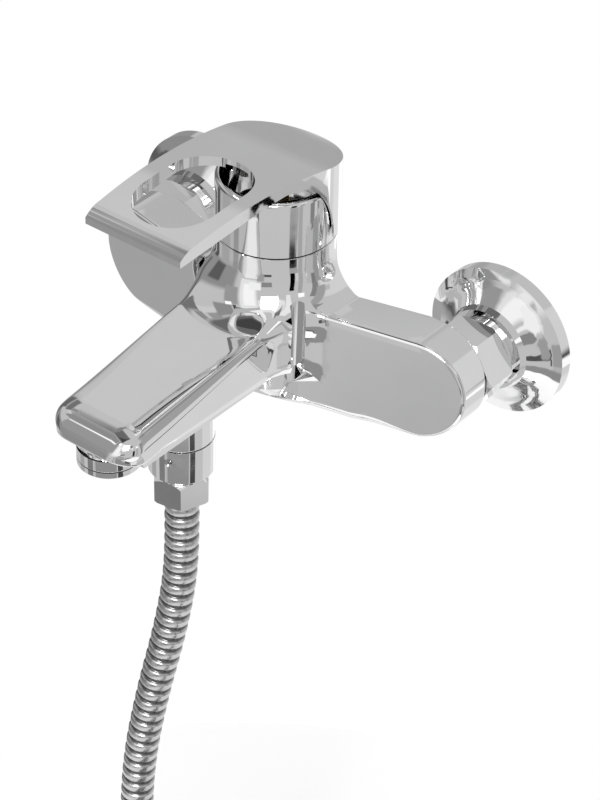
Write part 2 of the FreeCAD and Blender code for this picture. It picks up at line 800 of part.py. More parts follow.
def make_cartridge():
    seals = []
    for number, (x, y, radius) in enumerate(port_places(), start=1):
        seal = ring(f"base_seal{number}", radius, radius + " + sealWall", 0, "sealThickness")
        seals.append(place(seal, x=x, y=y, z="cavityFloor"))
    node(several("base_seals", seals))

    base_low = "cavityFloor + sealThickness"
    base = on_axis(cylinder("base_disc", "cartridgeRadius", "baseThickness"), z=base_low)
    node(cut("cartridge_base", base, make_ports("base", base_low, "baseThickness")))

    disc_low = base_low + " + baseThickness"
    disc = cylinder("fixed_blank", "discChamberRadius - runningGap", "fixedDiscThickness")
    on_axis(disc, z=disc_low)
    node(cut("fixed_disc", disc, make_ports("disc", disc_low, "fixedDiscThickness")))

    moving_low = disc_low + " + fixedDiscThickness"
    moving = cylinder("moving_blank", "movingDiscRadius", "movingDiscThickness")
    on_axis(moving, z=moving_low)
    mixing = cylinder("mixing_room", "mixingRadius", "mixingDepth")
    place(mixing, y="mixingBack - axisReach", z=moving_low)
    node(cut("moving_disc", moving, [mixing]))

    driver_low = moving_low + " + movingDiscThickness"
    socket_floor = "ballHeight - ballRadius - ballPlay - (" + driver_low + ")"
    driver = turned(
        "disc_driver",
        [
            ("0", "0"),
            ("movingDiscRadius", "0"),
            ("movingDiscRadius", "driverThickness"),
            ("ballRadius + ballPlay", "driverThickness"),
            ("ballRadius + ballPlay", socket_floor),
            ("0", socket_floor),
        ],
    )
    node(on_axis(driver, z=driver_low))

    roof = "housingShoulder - 1.4"
    housing = turned(
        "cartridge_housing",
        [
            ("discChamberRadius", disc_low),
            ("cartridgeRadius", disc_low),
            ("cartridgeRadius", "housingShoulder"),
            ("housingNeckRadius", "housingShoulder"),
            ("housingNeckRadius", "housingNeckTop"),
            ("carrierNeckRadius + runningGap", "housingNeckTop"),
            ("carrierNeckRadius + runningGap", roof),
            ("discChamberRadius", roof),
        ],
    )
    node(on_axis(housing))

    flange_top = roof + " - seatGap"
    flange_low = flange_top + " - carrierFlangeThickness"
    blank = turned(
        "carrier_blank",
        [
            ("0", flange_low),
            ("discChamberRadius - seatGap", flange_low),
            ("discChamberRadius - seatGap", flange_top),
            ("carrierNeckRadius", flange_top),
            ("carrierNeckRadius", "carrierTop"),
            ("0", "carrierTop"),
        ],
    )
    on_axis(blank)
    slot = block("carrier_slot", "spindleWidth + 2 * runningGap", "slotFront + slotBack", "carrierTop")
    place(slot, x="-spindleWidth / 2 - runningGap", y="-axisReach - slotFront", z="ballHeight")
    pin_hole = cylinder("carrier_pin_hole", "pinRadius", "4 * carrierNeckRadius")
    place(
        pin_hole,
        x="-2 * carrierNeckRadius",
        y="-axisReach",
        z="pivotHeight",
        axis=(0, 1, 0),
        angle=90,
    )
    node(cut("cartridge_carrier", blank, [slot, pin_hole]))

    pin = cylinder("spindle_pin", "pinRadius", "pinLength")
    node(place(pin, x="-pinLength / 2", y="-axisReach", z="pivotHeight", axis=(0, 1, 0), angle=90))

    stem_low = "ballHeight + ballRadius"
    bar = block("spindle_bar", "spindleWidth", "spindleWidth", "spindleTop - (" + stem_low + ")")
    place(bar, x="-spindleWidth / 2", y="-axisReach - spindleWidth / 2", z=stem_low)
    neck = on_axis(cylinder("spindle_neck", "spindleNeckRadius", "ballRadius + 1"), z="ballHeight")
    ball = doc.addObject("Part::Sphere", "spindle_ball")
    ball.setExpression("Radius", bind("ballRadius"))
    on_axis(ball, z="ballHeight")
    hole = cylinder("spindle_hole", "pinRadius + runningGap", "2 * spindleWidth")
    place(hole, x="-spindleWidth", y="-axisReach", z="pivotHeight", axis=(0, 1, 0), angle=90)
    node(cut("spindle", joined("spindle_blank", [bar, neck, ball]), [hole]))

    nut = turned(
        "nut_blank",
        [
            ("housingNeckRadius + seatGap", "housingShoulder"),
            ("nutThreadRadius - runningGap", "housingShoulder"),
            ("nutThreadRadius - runningGap", "seamHeight + seatGap"),
            ("nutFlangeRadius", "seamHeight + seatGap"),
            ("nutFlangeRadius", "nutFlangeTop"),
            ("housingNeckRadius + seatGap", "nutFlangeTop"),
        ],
    )
    on_axis(nut)
    notches = []
    for number in range(int(size("nutNotches"))):
        notch = block(f"nut_notch{number}", "nutFlangeRadius", "nutNotchWidth", "2 * nutNotchDepth")
        turn = Rotation(Vector(0, 0, 1), 360 / size("nutNotches") * number)
        notch.Placement.Rotation = turn
        reach = size("nutFlangeRadius") - size("nutNotchReach")
        corner = turn.multVec(Vector(reach, -size("nutNotchWidth") / 2, 0))
        place(
            notch,
            x=f"{corner.x:.6f}",
            y=f"{corner.y:.6f} - axisReach",
            z="nutFlangeTop - nutNotchDepth",
        )
        notches.append(notch)
    node(cut("cartridge_nut", nut, notches))


def make_cap():
    cap = turned(
        "trim_cap",
        [
            ("capRadius - capWall", "seamHeight + seatGap"),
            ("capRadius - seamChamfer", "seamHeight + seatGap"),
            ("capRadius", "seamHeight + seatGap + seamChamfer"),
            ("capRadius", "capTop"),
            ("capRadius - capWall", "capTop"),
        ],
    )
    top = size("capTop")
    outer = size("capRadius")
    rounded(
        cap,
        "capRounding",
        lambda edge: abs(edge.BoundBox.ZMin - top) < 0.01 and abs(edge.BoundBox.XMax - outer) < 0.01
        and edge.BoundBox.ZLength < 0.01,
    )
    node(on_axis(cap))


# lever

def side_prism(edges, half_width):
    """Extrude a closed outline in the YZ plane both ways along X."""
    face = Part.Face(Part.Wire(edges))
    face.translate(Vector(-half_width, 0, 0))
    return face.extrude(Vector(2 * half_width, 0, 0))


def lever_top_arc(lower=0.0):
    """The arched top of the lever, from its rear edge to where the nose turns down."""
    rear = Vector(0, size("leverRearRadius") + 1, size("leverRearTop") - 0.25 - lower)
    crest = Vector(0, -size("leverCrestReach"), size("leverCrestTop") - lower)
    nose = Vector(0, -size("leverNoseReach"), size("leverNoseTop") - lower)
    return rear, crest, nose


def make_lever():
    rear_radius = size("leverRearRadius")
    tip = -size("leverTipReach")
    wide = rear_radius + 3
    rear, crest, nose = lever_top_arc()
    tip_top = Vector(0, tip, size("leverTipTop"))
    tip_low = Vector(0, tip, size("leverTipTop") - size("leverTipEdge"))
    nose_mid = (nose + tip_top) * 0.5 + Vector(0, -0.35, 0.75)
    chin = Vector(0, -size("leverChinReach"), size("leverChinHeight"))
    skirt = size("skirtBottom")
    front_low = Vector(0, -rear_radius - 1, skirt)
    front_high = Vector(0, -rear_radius - 1, size("leverChinHeight"))
    block_edges = [
        Part.Arc(rear, crest, nose).toShape(),
        Part.Arc(nose, nose_mid, tip_top).toShape(),
        Part.makeLine(tip_top, tip_low),
        Part.makeLine(tip_low, chin),
        Part.makeLine(chin, front_high),
        Part.makeLine(front_high, front_low),
        Part.makeLine(front_low, Vector(0, rear.y, skirt)),
        Part.makeLine(Vector(0, rear.y, skirt), rear),
    ]
    solid = side_prism(block_edges, wide)

    tip_half = size("leverTipHalfWidth")
    right = Vector(rear_radius, 0, 0)
    left = Vector(-rear_radius, 0, 0)
    plan = Part.Wire(
        [
            Part.Arc(right, Vector(0, rear_radius, 0), left).toShape(),
            Part.makeLine(left, Vector(-tip_half, tip, 0)),
            Part.makeLine(Vector(-tip_half, tip, 0), Vector(tip_half, tip, 0)),
            Part.makeLine(Vector(tip_half, tip, 0), right),
        ]
    )
    outline = Part.Face(plan).extrude(Vector(0, 0, 2 * size("leverCrestTop")))
    solid = solid.common(outline)

    rear_in, crest_in, nose_in = lever_top_arc(size("leverRearSkin"))
    floor = skirt - 1
    room_edges = [
        Part.Arc(rear_in, crest_in, nose_in).toShape(),
        Part.makeLine(nose_in, Vector(0, nose_in.y, floor)),
        Part.makeLine(Vector(0, nose_in.y, floor), Vector(0, rear_in.y, floor)),
        Part.makeLine(Vector(0, rear_in.y, floor), rear_in),
    ]
    room = side_prism(room_edges, wide).common(
        Part.makeCylinder(size("skirtRadius"), 2 * size("leverCrestTop"))
    )
    solid = solid.cut(room)

    leg = Vector(0, size("archLegBack"), floor)
    leg_top = Vector(0, -size("archTopReach"), size("archTop"))
    leg_mid = Vector(0, (leg.y + leg_top.y) / 2 + 3.2, (leg.z + leg_top.z) / 2 + 2.5)
    shoulder = Vector(0, -size("archShoulderReach"), size("archShoulderHeight"))
    chin_low = Vector(0, chin.y, floor)
    arch_edges = [
        Part.Arc(leg, leg_mid, leg_top).toShape(),
        Part.makeLine(leg_top, shoulder),
        Part.makeLine(shoulder, Vector(0, front_high.y + 2, chin.z)),
        Part.makeLine(Vector(0, front_high.y + 2, chin.z), chin),
        Part.makeLine(chin, chin_low),
        Part.makeLine(chin_low, leg),
    ]
    solid = solid.cut(side_prism(arch_edges, wide))

    hub = Part.makeCylinder(
        size("hubRadius"),
        size("leverCrestTop") - size("hubBottom"),
        Vector(0, 0, size("hubBottom")),
    )
    solid = solid.fuse(hub.common(side_prism(block_edges, wide)))
    half = size("spindleWidth") / 2 + size("runningGap")
    socket = Part.makeBox(
        2 * half,
        2 * half,
        size("spindleTop") + size("seatGap") - size("hubBottom") + 1,
        Vector(-half, -half, size("hubBottom") - 1),
    )
    screw_hole = Part.makeCylinder(
        size("leverScrewRadius"),
        size("hubRadius") + 1,
        Vector(0, 0, size("leverScrewHeight")),
        Vector(0, -1, 0),
    )
    reach = size("fingerHoleReach")
    hole_radius = size("fingerHoleRadius")
    half_straight = size("fingerHoleStraight") / 2
    tall = 2 * size("leverCrestTop")
    low = Vector(-hole_radius, -reach - half_straight, 0)
    finger = Part.makeBox(2 * hole_radius, 2 * half_straight, tall, low)
    for shift in (-half_straight, half_straight):
        finger = finger.fuse(Part.makeCylinder(hole_radius, tall, Vector(0, -reach + shift, 0)))
    solid = solid.cut(socket).cut(screw_hole).cut(finger).removeSplitter()
    lever = doc.addObject("Part::Feature", "lever")
    lever.Shape = solid.Solids[0] if len(solid.Solids) == 1 else solid
    node(on_axis(lever))

    screw = turned(
        "lever_screw",
        [
            ("0", "spindleWidth / 2"),
            ("leverScrewRadius - runningGap / 2", "spindleWidth / 2"),
            ("leverScrewRadius - runningGap / 2", "hubRadius"),
            ("leverScrewRadius / 2", "hubRadius"),
            ("leverScrewRadius / 2", "hubRadius - 1"),
            ("0", "hubRadius - 1"),
        ],
    )
    node(place(screw, y="-axisReach", z="leverScrewHeight", axis=(1, 0, 0), angle=90))


# inlets

def make_inlet(side):
    """One inlet from the wall to the body: union, nut, washer, nipple and wall flange."""
    name = "hot" if side < 0 else "cold"
    tail = cylinder("tail_" + name, "tailRadius", "tailLength + 1")
    at_inlet(tail, side, out="-tailLength", up="-tailDrop")
    web = cylinder("web_" + name, "unionThreadRadius", "unionFace - 1")
    at_inlet(web, side, out=1)
    hull = cylinder("hull_" + name, "tailShoulderRadius", "eccentricWebThickness - tailShoulderGap")
    at_inlet(hull, side, out="tailShoulderGap", up="-tailDrop")
    tail_way = cylinder("tail_way_" + name, "tailBore", "tailLength + eccentricWebThickness")
    at_inlet(tail_way, side, out="-tailLength - 1", up="-tailDrop")
    front_way = cylinder("front_way_" + name, "unionBore", "unionFace")
    at_inlet(front_way, side, out="eccentricWebThickness - 2")
    blank = joined("union_blank_" + name, [tail, web, hull])
    node(cut("eccentric_" + name, blank, [tail_way, front_way]))

    washer = ring("inlet_washer_" + name, "washerHole", "nippleCollarRadius", 0, "washerThickness")
    node(at_inlet(washer, side, out="unionFace"))

    collar_low = "unionFace + washerThickness"
    nipple = turned(
        "inlet_nipple_" + name,
        [
            ("nippleBore", "0"),
            ("nippleCollarRadius", "0"),
            ("nippleCollarRadius", "nippleCollarThickness"),
            ("nippleRadius", "nippleCollarThickness"),
            ("nippleRadius", "bodyFaceFromWall + nippleDepth - 0.5 - (" + collar_low + ")"),
            ("nippleBore", "bodyFaceFromWall + nippleDepth - 0.5 - (" + collar_low + ")"),
        ],
    )
    node(at_inlet(nipple, side, out=collar_low))

    prism = hexagon("nut_hex_" + name, "unionNutFlats", "unionNutBodyEnd - unionNutWallEnd")
    at_inlet(prism, side, out="unionNutWallEnd")
    height = "(unionNutBodyEnd - unionNutWallEnd)"
    corner = "unionNutFlats / 2 / cos(30 deg)"
    profile = turned(
        "nut_profile_" + name,
        [
            ("unionThreadRadius + runningGap", "0"),
            (corner + " - unionNutChamfer", "0"),
            (corner, "unionNutChamfer"),
            (corner, height + " - unionNutChamfer"),
            (corner + " - unionNutChamfer", height),
            ("unionNutHole", height),
            ("unionNutHole", height + " - unionNutLip"),
            ("unionThreadRadius + runningGap", height + " - unionNutLip"),
        ],
    )
    at_inlet(profile, side, out="unionNutWallEnd")
    node(shared("union_nut_" + name, [profile, prism]))

    flange = turned(
        "wall_flange_" + name,
        [
            ("flangeRadius - flangeSheet", "0"),
            ("flangeRadius", "0"),
            ("flangeRadius", "flangeRim"),
            ("flangeRadius - 4.5", "flangeRim + 1.2"),
            ("(flangeRadius + flangeNeckRadius) / 2 - 1.2", "(flangeRim + flangeNeckFromWall) / 2 - 1.2"),
            ("flangeNeckRadius + 1.1", "flangeNeckFromWall - 2.6"),
            ("flangeNeckRadius", "flangeNeckFromWall"),
            ("unionThreadRadius + runningGap", "flangeNeckFromWall"),
            ("unionThreadRadius + runningGap", "flangeNeckFromWall - 2.4"),
            ("flangeNeckRadius - 0.4", "flangeNeckFromWall - 3.6"),
            ("(flangeRadius + flangeNeckRadius) / 2 - 2.2", "(flangeRim + flangeNeckFromWall) / 2 - 2.4"),
            ("flangeRadius - 5", "flangeRim - 0.2"),
            ("flangeRadius - flangeSheet", "flangeRim - flangeSheet"),
        ],
    )
    node(at_inlet(flange, side))


# aerator

def make_aerator():
    deep = "(aeratorSeat - seatGap) - aeratorBottom"
    thread_top = deep + " + aeratorThreadDepth - aeratorWasherThickness - 0.5"
    bore = "aeratorThreadRadius - aeratorWall"
    housing = turned(
        "aerator_housing",
        [
            (bore + " - aeratorLip", "0"),
            ("aeratorRadius - 0.6", "0"),
            ("aeratorRadius", "0.6"),
            ("aeratorRadius", deep),
            ("aeratorThreadRadius - runningGap", deep),
            ("aeratorThreadRadius - runningGap", thread_top),
            (bore, thread_top),
            (bore, "1.2"),
            (bore + " - aeratorLip", "1.2"),
        ],
    )
    node(place(housing, y="-axisReach - aeratorReach", z="aeratorBottom"))

    insert = cylinder("aerator_blank", bore + " - runningGap", "aeratorInsertHeight")
    place(insert, y="-axisReach - aeratorReach", z="aeratorBottom + 1.2")
    holes = []
    for number in range(int(size("aeratorJets"))):
        angle = 2 * math.pi * number / size("aeratorJets")
        hole = cylinder(f"aerator_jet{number}", "aeratorJetRadius", "3 * aeratorInsertHeight")
        place(
            hole,
            x=f"aeratorJetRing * {math.cos(angle):.6f}",
            y=f"aeratorJetRing * {math.sin(angle):.6f} - axisReach - aeratorReach",
            z="aeratorBottom - 2",
        )
        holes.append(hole)
    node(cut("aerator_insert", insert, holes))

    washer = ring(
        "aerator_washer",
        bore + " - 1.5",
        "aeratorThreadRadius - 0.3",
        "0",
        "aeratorWasherThickness",
    )
    node(place(washer, y="-axisReach - aeratorReach", z="aeratorBottom + " + thread_top))


# diverter under the spout

def make_diverter():
    flange_top = "collarBottom - seatGap"
    thread_top = flange_top + " - stemFlangeThickness"
    thread_low = thread_top + " - hoseThreadLength"
    stem = turned(
        "stem_blank",
        [
            ("stemBore", thread_low),
            ("hoseThreadRadius - runningGap", thread_low),
            ("hoseThreadRadius - runningGap", thread_top),
            ("stemFlangeRadius", thread_top),
            ("stemFlangeRadius", flange_top),
            ("stemRadius", flange_top),
            ("stemRadius", "rotorBoreTop"),
            ("stemThreadRadius - runningGap", "rotorBoreTop"),
            ("stemThreadRadius - runningGap", "rotorBoreTop + stemThreadDepth - seatGap"),
            ("0", "rotorBoreTop + stemThreadDepth - seatGap"),
            ("0", "channelHeight + rotorWindow"),
            ("stemBore", "channelHeight + rotorWindow"),
        ],
    )
    at_outlet(stem)
    stem_window = cylinder("stem_window", "rotorWindow - seatGap", "2 * stemRadius")
    place(
        stem_window,
        y="-axisReach - outletReach",
        z="channelHeight",
        axis=(1, 0, 0),
        angle=-90,
    )
    node(cut("outlet_stem", stem, [stem_window]))

    sleeve = ring(
        "rotor_blank",
        "stemRadius + runningGap",
        "rotorRadius",
        "collarBottom",
        "rotorBoreTop - seatGap",
    )
    at_outlet(sleeve)
    window = cylinder("rotor_window", "rotorWindow", "2 * rotorRadius")
    place(
        window,
        y="-axisReach - outletReach",
        z="channelHeight",
        axis=(0, 1, 0),
        angle=90,
    )
    bypass = cylinder("bypass_sector", "rotorRadius + 1", "2 * rotorWindow")
    bypass.setExpression("Angle", bind("bypassSweep"))
    start = 180 - size("bypassSweep") / 2
    at_outlet(place(bypass, axis=(0, 0, 1), angle=start), z="channelHeight - rotorWindow")
    core = at_outlet(cylinder("bypass_core", "rotorRadius - bypassDepth", "20"), z="channelHeight - 10")
    node(cut("diverter_rotor", sleeve, [window, cut("bypass", bypass, [core])]))

    collar_top = "bossBottom - seatGap"
    collar = turned(
        "collar_blank",
        [
            ("rotorRadius + runningGap", "collarBottom"),
            ("collarRadius - collarChamfer", "collarBottom"),
            ("collarRadius", "collarBottom + collarChamfer"),
            ("collarRadius", collar_top),
            ("rotorRadius + runningGap", collar_top),
        ],
    )
    at_outlet(collar)
    bearing = math.radians(size("grubBearing"))
    outward = Vector(math.sin(bearing), -math.cos(bearing), 0)
    hole = cylinder("grub_hole", "grubRadius", "collarRadius")
    hole.Placement = Placement(Vector(), Rotation(Vector(0, 0, 1), outward))
    at_outlet(hole, z="grubHeight")
    node(cut("diverter_collar", collar, [hole]))

    low = "rotorRadius + runningGap"
    high = low + " + grubLength"
    screw = turned(
        "diverter_screw",
        [
            ("0", low),
            ("grubRadius - runningGap / 2", low),
            ("grubRadius - runningGap / 2", high),
            ("hexSocket", high),
            ("hexSocket", high + " - 1.6"),
            ("0", high + " - 1.6"),
        ],
    )
    screw.Placement = Placement(Vector(), Rotation(Vector(0, 0, 1), outward))
    node(at_outlet(screw, z="grubHeight"))
    return thread_low


# hose and its fittings

def make_hose_connection(thread_low):
    washer_low = thread_low + " - hoseWasherThickness"
    washer = ring("hose_washer", "ferruleBore", "ferruleRadius", washer_low, thread_low)
    node(at_outlet(washer))

    lip_top = "hoseNutBottom + hoseNutLip"
    ferrule = turned(
        "hose_ferrule",
        [
            ("ferruleBore", "ferruleEnd"),
            ("ferruleNeck", "ferruleEnd"),
            ("ferruleNeck", lip_top),
            ("ferruleRadius", lip_top),
            ("ferruleRadius", washer_low),
            ("ferruleBore", washer_low),
        ],
    )
    node(at_outlet(ferrule))

    height = "(hoseNutTop - hoseNutBottom)"
    prism = hexagon("hose_nut_hex", "hoseNutFlats", height)
    prism.Placement = Placement(Vector(), Rotation(Vector(0, 0, 1), -51))
    at_outlet(prism, z="hoseNutBottom")
    corner = "hoseNutFlats / 2 / cos(30 deg)"
    profile = turned(
        "hose_nut_profile",
        [
            ("hoseNutHole", "0"),
            (corner + " - 0.6", "0"),
            (corner, "0.6"),
            (corner, height + " - 1.6"),
            (corner + " - 1.6", height),
            ("hoseThreadRadius", height),
            ("hoseThreadRadius", "hoseNutLip"),
            ("hoseNutHole", "hoseNutLip"),
        ],
    )
    at_outlet(profile, z="hoseNutBottom")
    node(shared("hose_nut", [profile, prism]))


def route_points():
    """The free stretch's points in the row frame."""
    forward = size("axisReach")
    return [Vector(x, y - forward, z) for x, y, z in hose_route]


def rounded_path(points):
    """Straight runs joined by tangent arcs, each as large as its runs allow."""
    edges = []
    start = points[0]
    for before, corner, after in zip(points, points[1:], points[2:]):
        into = corner - before
        out = after - corner
        turn = into.getAngle(out)
        if turn < 1e-4:
            continue
        shorter = min(into.Length, out.Length)
        radius = 0.45 * shorter / math.tan(turn / 2)
        trim = radius * math.tan(turn / 2)
        entry = corner - into.normalize() * trim
        leave = corner + out.normalize() * trim
        chord = (entry + leave) * 0.5
        bulge = math.cos(turn / 2) / (1 + math.cos(turn / 2))
        middle = chord + (corner - chord) * bulge
        edges.append(Part.makeLine(start, entry))
        edges.append(Part.Arc(entry, middle, leave).toShape())
        start = leave
        print(f"hose arc radius {radius:.0f} mm, turn {math.degrees(turn):.1f} degrees")
    edges.append(Part.makeLine(start, points[-1]))
    return edges


def section(centre, along, radius):
    """A round section square to the path, on a steady X axis."""
    steady = Vector(1, 0, 0)
    across = along.cross(steady).normalize()
    side = across.cross(along).normalize()
    frame = Matrix(
        side.x, across.x, along.x, centre.x,
        side.y, across.y, along.y, centre.y,
        side.z, across.z, along.z, centre.z,
        0, 0, 0, 1,
    )
    ring_edge = Part.makeCircle(radius)
    ring_edge.Placement = Placement(frame)
    return Part.Wire([ring_edge])


def point_on(edges, distance):
    """Where a path is after a length, and which way it goes there."""
    left = distance
    for edge in edges[:-1]:
        if left <= edge.Length:
            break
        left -= edge.Length
    else:
        edge = edges[-1]
    left = min(left, edge.Length)
    spot = edge.getParameterByLength(left)
    return edge.valueAt(spot), edge.tangentAt(spot).normalize()


def make_hose_drop(edges):
    """The ribbed free stretch, with its bore; each rib is a ruled loft of four circles."""
    total = sum(edge.Length for edge in edges)
    outer = size("hoseDiameter") / 2
    inner = size("hoseBore") / 2
    valley = outer - size("ribDepth")
    lead = size("hoseDiameter")
    ribs = int((total - 2 * lead) / size("ribPitch"))
    pitch = (total - 2 * lead) / ribs
    stations = [(0.0, outer)]
    for number in range(ribs):
        foot = lead + number * pitch
        for share, radius in ((0.0, valley), (0.18, outer), (0.72, outer), (0.9, valley)):
            stations.append((foot + share * pitch, radius))
    stations.append((total - lead, valley))
    stations.append((total - lead + 0.2 * pitch, outer))
    stations.append((total, outer))
    rings = []
    bores = []
    for distance, radius in stations:
        centre, along = point_on(edges, distance)
        rings.append(section(centre, along, radius))
        bores.append(section(centre, along, inner))
    solid = Part.makeLoft(rings, True, True).cut(Part.makeLoft(bores, True, True))
    drop = doc.addObject("Part::Feature", "hose_drop")
    drop.Shape = solid
    drop.Placement = Placement()
    node(drop)
    print(f"hose free stretch {total:.1f} mm with {ribs} ribs, volume {solid.Volume:.0f} mm3")
    return total


def coil_point(angle, start):
    """A point of the coil and its direction; the angle counts down from the start side."""
    radius = size("coilRadius")
    pitch = size("coilPitch")
    centre = start + Vector(radius, 0, 0)
    point = centre + Vector(
        -radius * math.cos(angle),
        -pitch * angle / (2 * math.pi),
        -radius * math.sin(angle),
    )
    along = Vector(
        radius * math.sin(angle),
        -pitch / (2 * math.pi),
        -radius * math.cos(angle),
    )
    return point, along.normalize()


def biarc(first, along_first, last, along_last):
    """Two tangent arcs that join two points with the given directions."""
    gap = last - first
    both = along_first + along_last
    sharp = 2 * (1 - along_first.dot(along_last))
    reach = (-gap.dot(both) + math.sqrt(gap.dot(both) ** 2 + sharp * gap.dot(gap))) / sharp
    near = first + along_first * reach
    far = last - along_last * reach
    joint = (near + far) * 0.5
    arcs = []
    for begin, knee, end in ((first, near, joint), (joint, far, last)):
        chord = (begin + end) * 0.5
        half = (begin - chord).Length / (begin - knee).Length
        middle = chord + (knee - chord) * (half / (1 + half))
        arcs.append(Part.Arc(begin, middle, end).toShape())
    return arcs


def make_hose_coil(start):
    """The put-away length: one unbroken tube of side-by-side turns."""
    lead = size("hoseDiameter")
    edges = [Part.makeLine(start, start + Vector(0, 0, -lead))]
    begin = start + Vector(0, 0, -lead)
    quarters = int(2 * size("coilHalfTurns"))
    marks = [coil_point(number * math.pi / 2, begin) for number in range(quarters + 1)]
    marks[0] = (begin, Vector(0, 0, -1))
    marks[-1] = (marks[-1][0] - Vector(0, size("coilEndShift"), 0), Vector(0, 0, 1))
    for (first, along_first), (last, along_last) in zip(marks, marks[1:]):
        edges += biarc(first, along_first, last, along_last)
    end = marks[-1][0]
    last = end + Vector(0, 0, size("coilEndRun"))
    edges.append(Part.makeLine(end, last))
    wire = Part.Wire(edges)
    radius = size("hoseDiameter") / 2
    mouth = Part.Wire([Part.makeCircle(radius, start, Vector(0, 0, -1))])
    tube = wire.makePipeShell([mouth], True, False)
    coil = doc.addObject("Part::Feature", "hose_coil")
    coil.Shape = tube
    coil.Placement = Placement()
    node(coil)
    length = sum(edge.Length for edge in edges)
    swept = math.pi * radius ** 2 * length
    print(f"hose coil {length:.1f} mm, volume {tube.Volume:.0f} of {swept:.0f} mm3")
    print(f"coil least gap to itself {coil_gap(wire, length):.2f} mm")
    return length, last, begin


def coil_gap(wire, length):
    """Least distance between points of the coil at least a quarter turn apart, less a diameter."""
    count = int(length / 3)
    points = wire.discretize(count)
    apart = int(count * size("coilRadius") * math.pi / 2 / length)
    least = min(
        (points[k] - other).Length
        for k in range(count)
        for other in points[k + apart:]
    )
    return least - size("hoseDiameter")


def make_tie(begin):
    """A strap round the turns at the bottom of the coil."""
    radius = size("coilRadius")
    pitch = size("coilPitch")
    half_tube = size("hoseDiameter") / 2 + size("tieGap")
    passes = int((size("coilHalfTurns") + 1) / 2)
    front = begin.y - pitch * (passes - 0.75) - half_tube
    back = begin.y - pitch * 0.25 + half_tube
    low = begin.z - radius - half_tube
    thick = size("tieThickness")
    wide = size("tieWidth")
    middle = begin.x + radius
    outer = Part.makeBox(
        wide,
        back - front + 2 * thick,
        2 * (half_tube + thick),
        Vector(middle - wide / 2, front - thick, low - thick),
    )
    corner = half_tube * 0.8
    long_edges = [edge for edge in outer.Edges if abs(edge.tangentAt(0).x) > 0.9]
    outer = outer.makeFillet(corner + thick, long_edges)
    inner = Part.makeBox(
        3 * wide,
        back - front,
        2 * half_tube,
        Vector(middle - 1.5 * wide, front, low),
    )
    long_edges = [edge for edge in inner.Edges if abs(edge.tangentAt(0).x) > 0.9]
    inner = inner.makeFillet(corner, long_edges)
    tie = doc.addObject("Part::Feature", "hose_tie")
    tie.Shape = outer.cut(inner)
    tie.Placement = Placement()
    node(tie)


def make_end_fittings(end):
    """The conical nut, ferrule and washer at the hose's free end, which points up."""
    thread_floor = "endNutLength - endThreadDepth"
    ferrule = turned(
        "hose_end_ferrule",
        [
            ("ferruleBore", "0"),
            ("ferruleNeck", "0"),
            ("ferruleNeck", thread_floor),
            ("ferruleRadius", thread_floor),
            ("ferruleRadius", thread_floor + " + ferruleFlange"),
            ("ferruleBore", thread_floor + " + ferruleFlange"),
        ],
    )
    node(ferrule)
    nut = turned(
        "hose_end_nut",
        [
            ("ferruleNeck + runningGap", "seatGap"),
            ("endNutSmallRadius", "seatGap"),
            ("endNutRadius", "endNutLength - endThreadDepth / 2"),
            ("endNutRadius", "endNutLength"),
            ("endThreadRadius", "endNutLength"),
            ("endThreadRadius", thread_floor + " + ferruleFlange + hoseWasherThickness"),
            ("ferruleRadius + 2 * runningGap", thread_floor + " + ferruleFlange + hoseWasherThickness"),
            ("ferruleRadius + 2 * runningGap", thread_floor),
            ("ferruleNeck + runningGap", thread_floor),
        ],
    )
    node(nut)
    washer = ring(
        "hose_end_washer",
        "ferruleBore",
        "ferruleRadius",
        "endNutLength - endThreadDepth + ferruleFlange",
        "endNutLength - endThreadDepth + ferruleFlange + hoseWasherThickness",
    )
    node(washer)
    for piece in (ferrule, nut, washer):
        piece.Placement = Placement(end, Rotation())


def make_hose(thread_low):
    make_hose_connection(thread_low)
    edges = rounded_path(route_points())
    free = make_hose_drop(edges)
    coiled, end, begin = make_hose_coil(route_points()[-1])
    make_tie(begin)
    make_end_fittings(end)
    print(f"hose length {free + coiled:.0f} mm between its ferrules")


def check_and_export():
    doc.recompute()
    for item in doc.Objects:
        bad = [word for word in ("Invalid", "Error") if word in item.State]
        if bad:
            raise SystemExit(f"{item.Label} is {bad}")
    os.makedirs("parts", exist_ok=True)
    for item in nodes:
        shape = item.Shape
        if shape.isNull() or not shape.isValid() or not shape.Solids:
            raise SystemExit(f"{item.Label} has no valid solid")
        shape.exportStep(f"parts/{item.Label}.step")
        box = shape.BoundBox
        print(
            f"{item.Label}: {len(shape.Solids)} solid, {shape.Volume:.0f} mm3, "
            f"{box.XMin:.1f}..{box.XMax:.1f} {box.YMin:.1f}..{box.YMax:.1f} {box.ZMin:.1f}..{box.ZMax:.1f}"
        )


fill_sheet()
make_body()
make_cartridge()
make_cap()
make_lever()
for inlet_side in (-1, 1):
    make_inlet(inlet_side)
make_aerator()
make_hose(make_diverter())
check_and_export()
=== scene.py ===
# Bath mixer: finishes, casting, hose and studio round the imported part.
import json
import math

import bmesh
import bpy
import numpy as np
from mathutils import Matrix, Vector


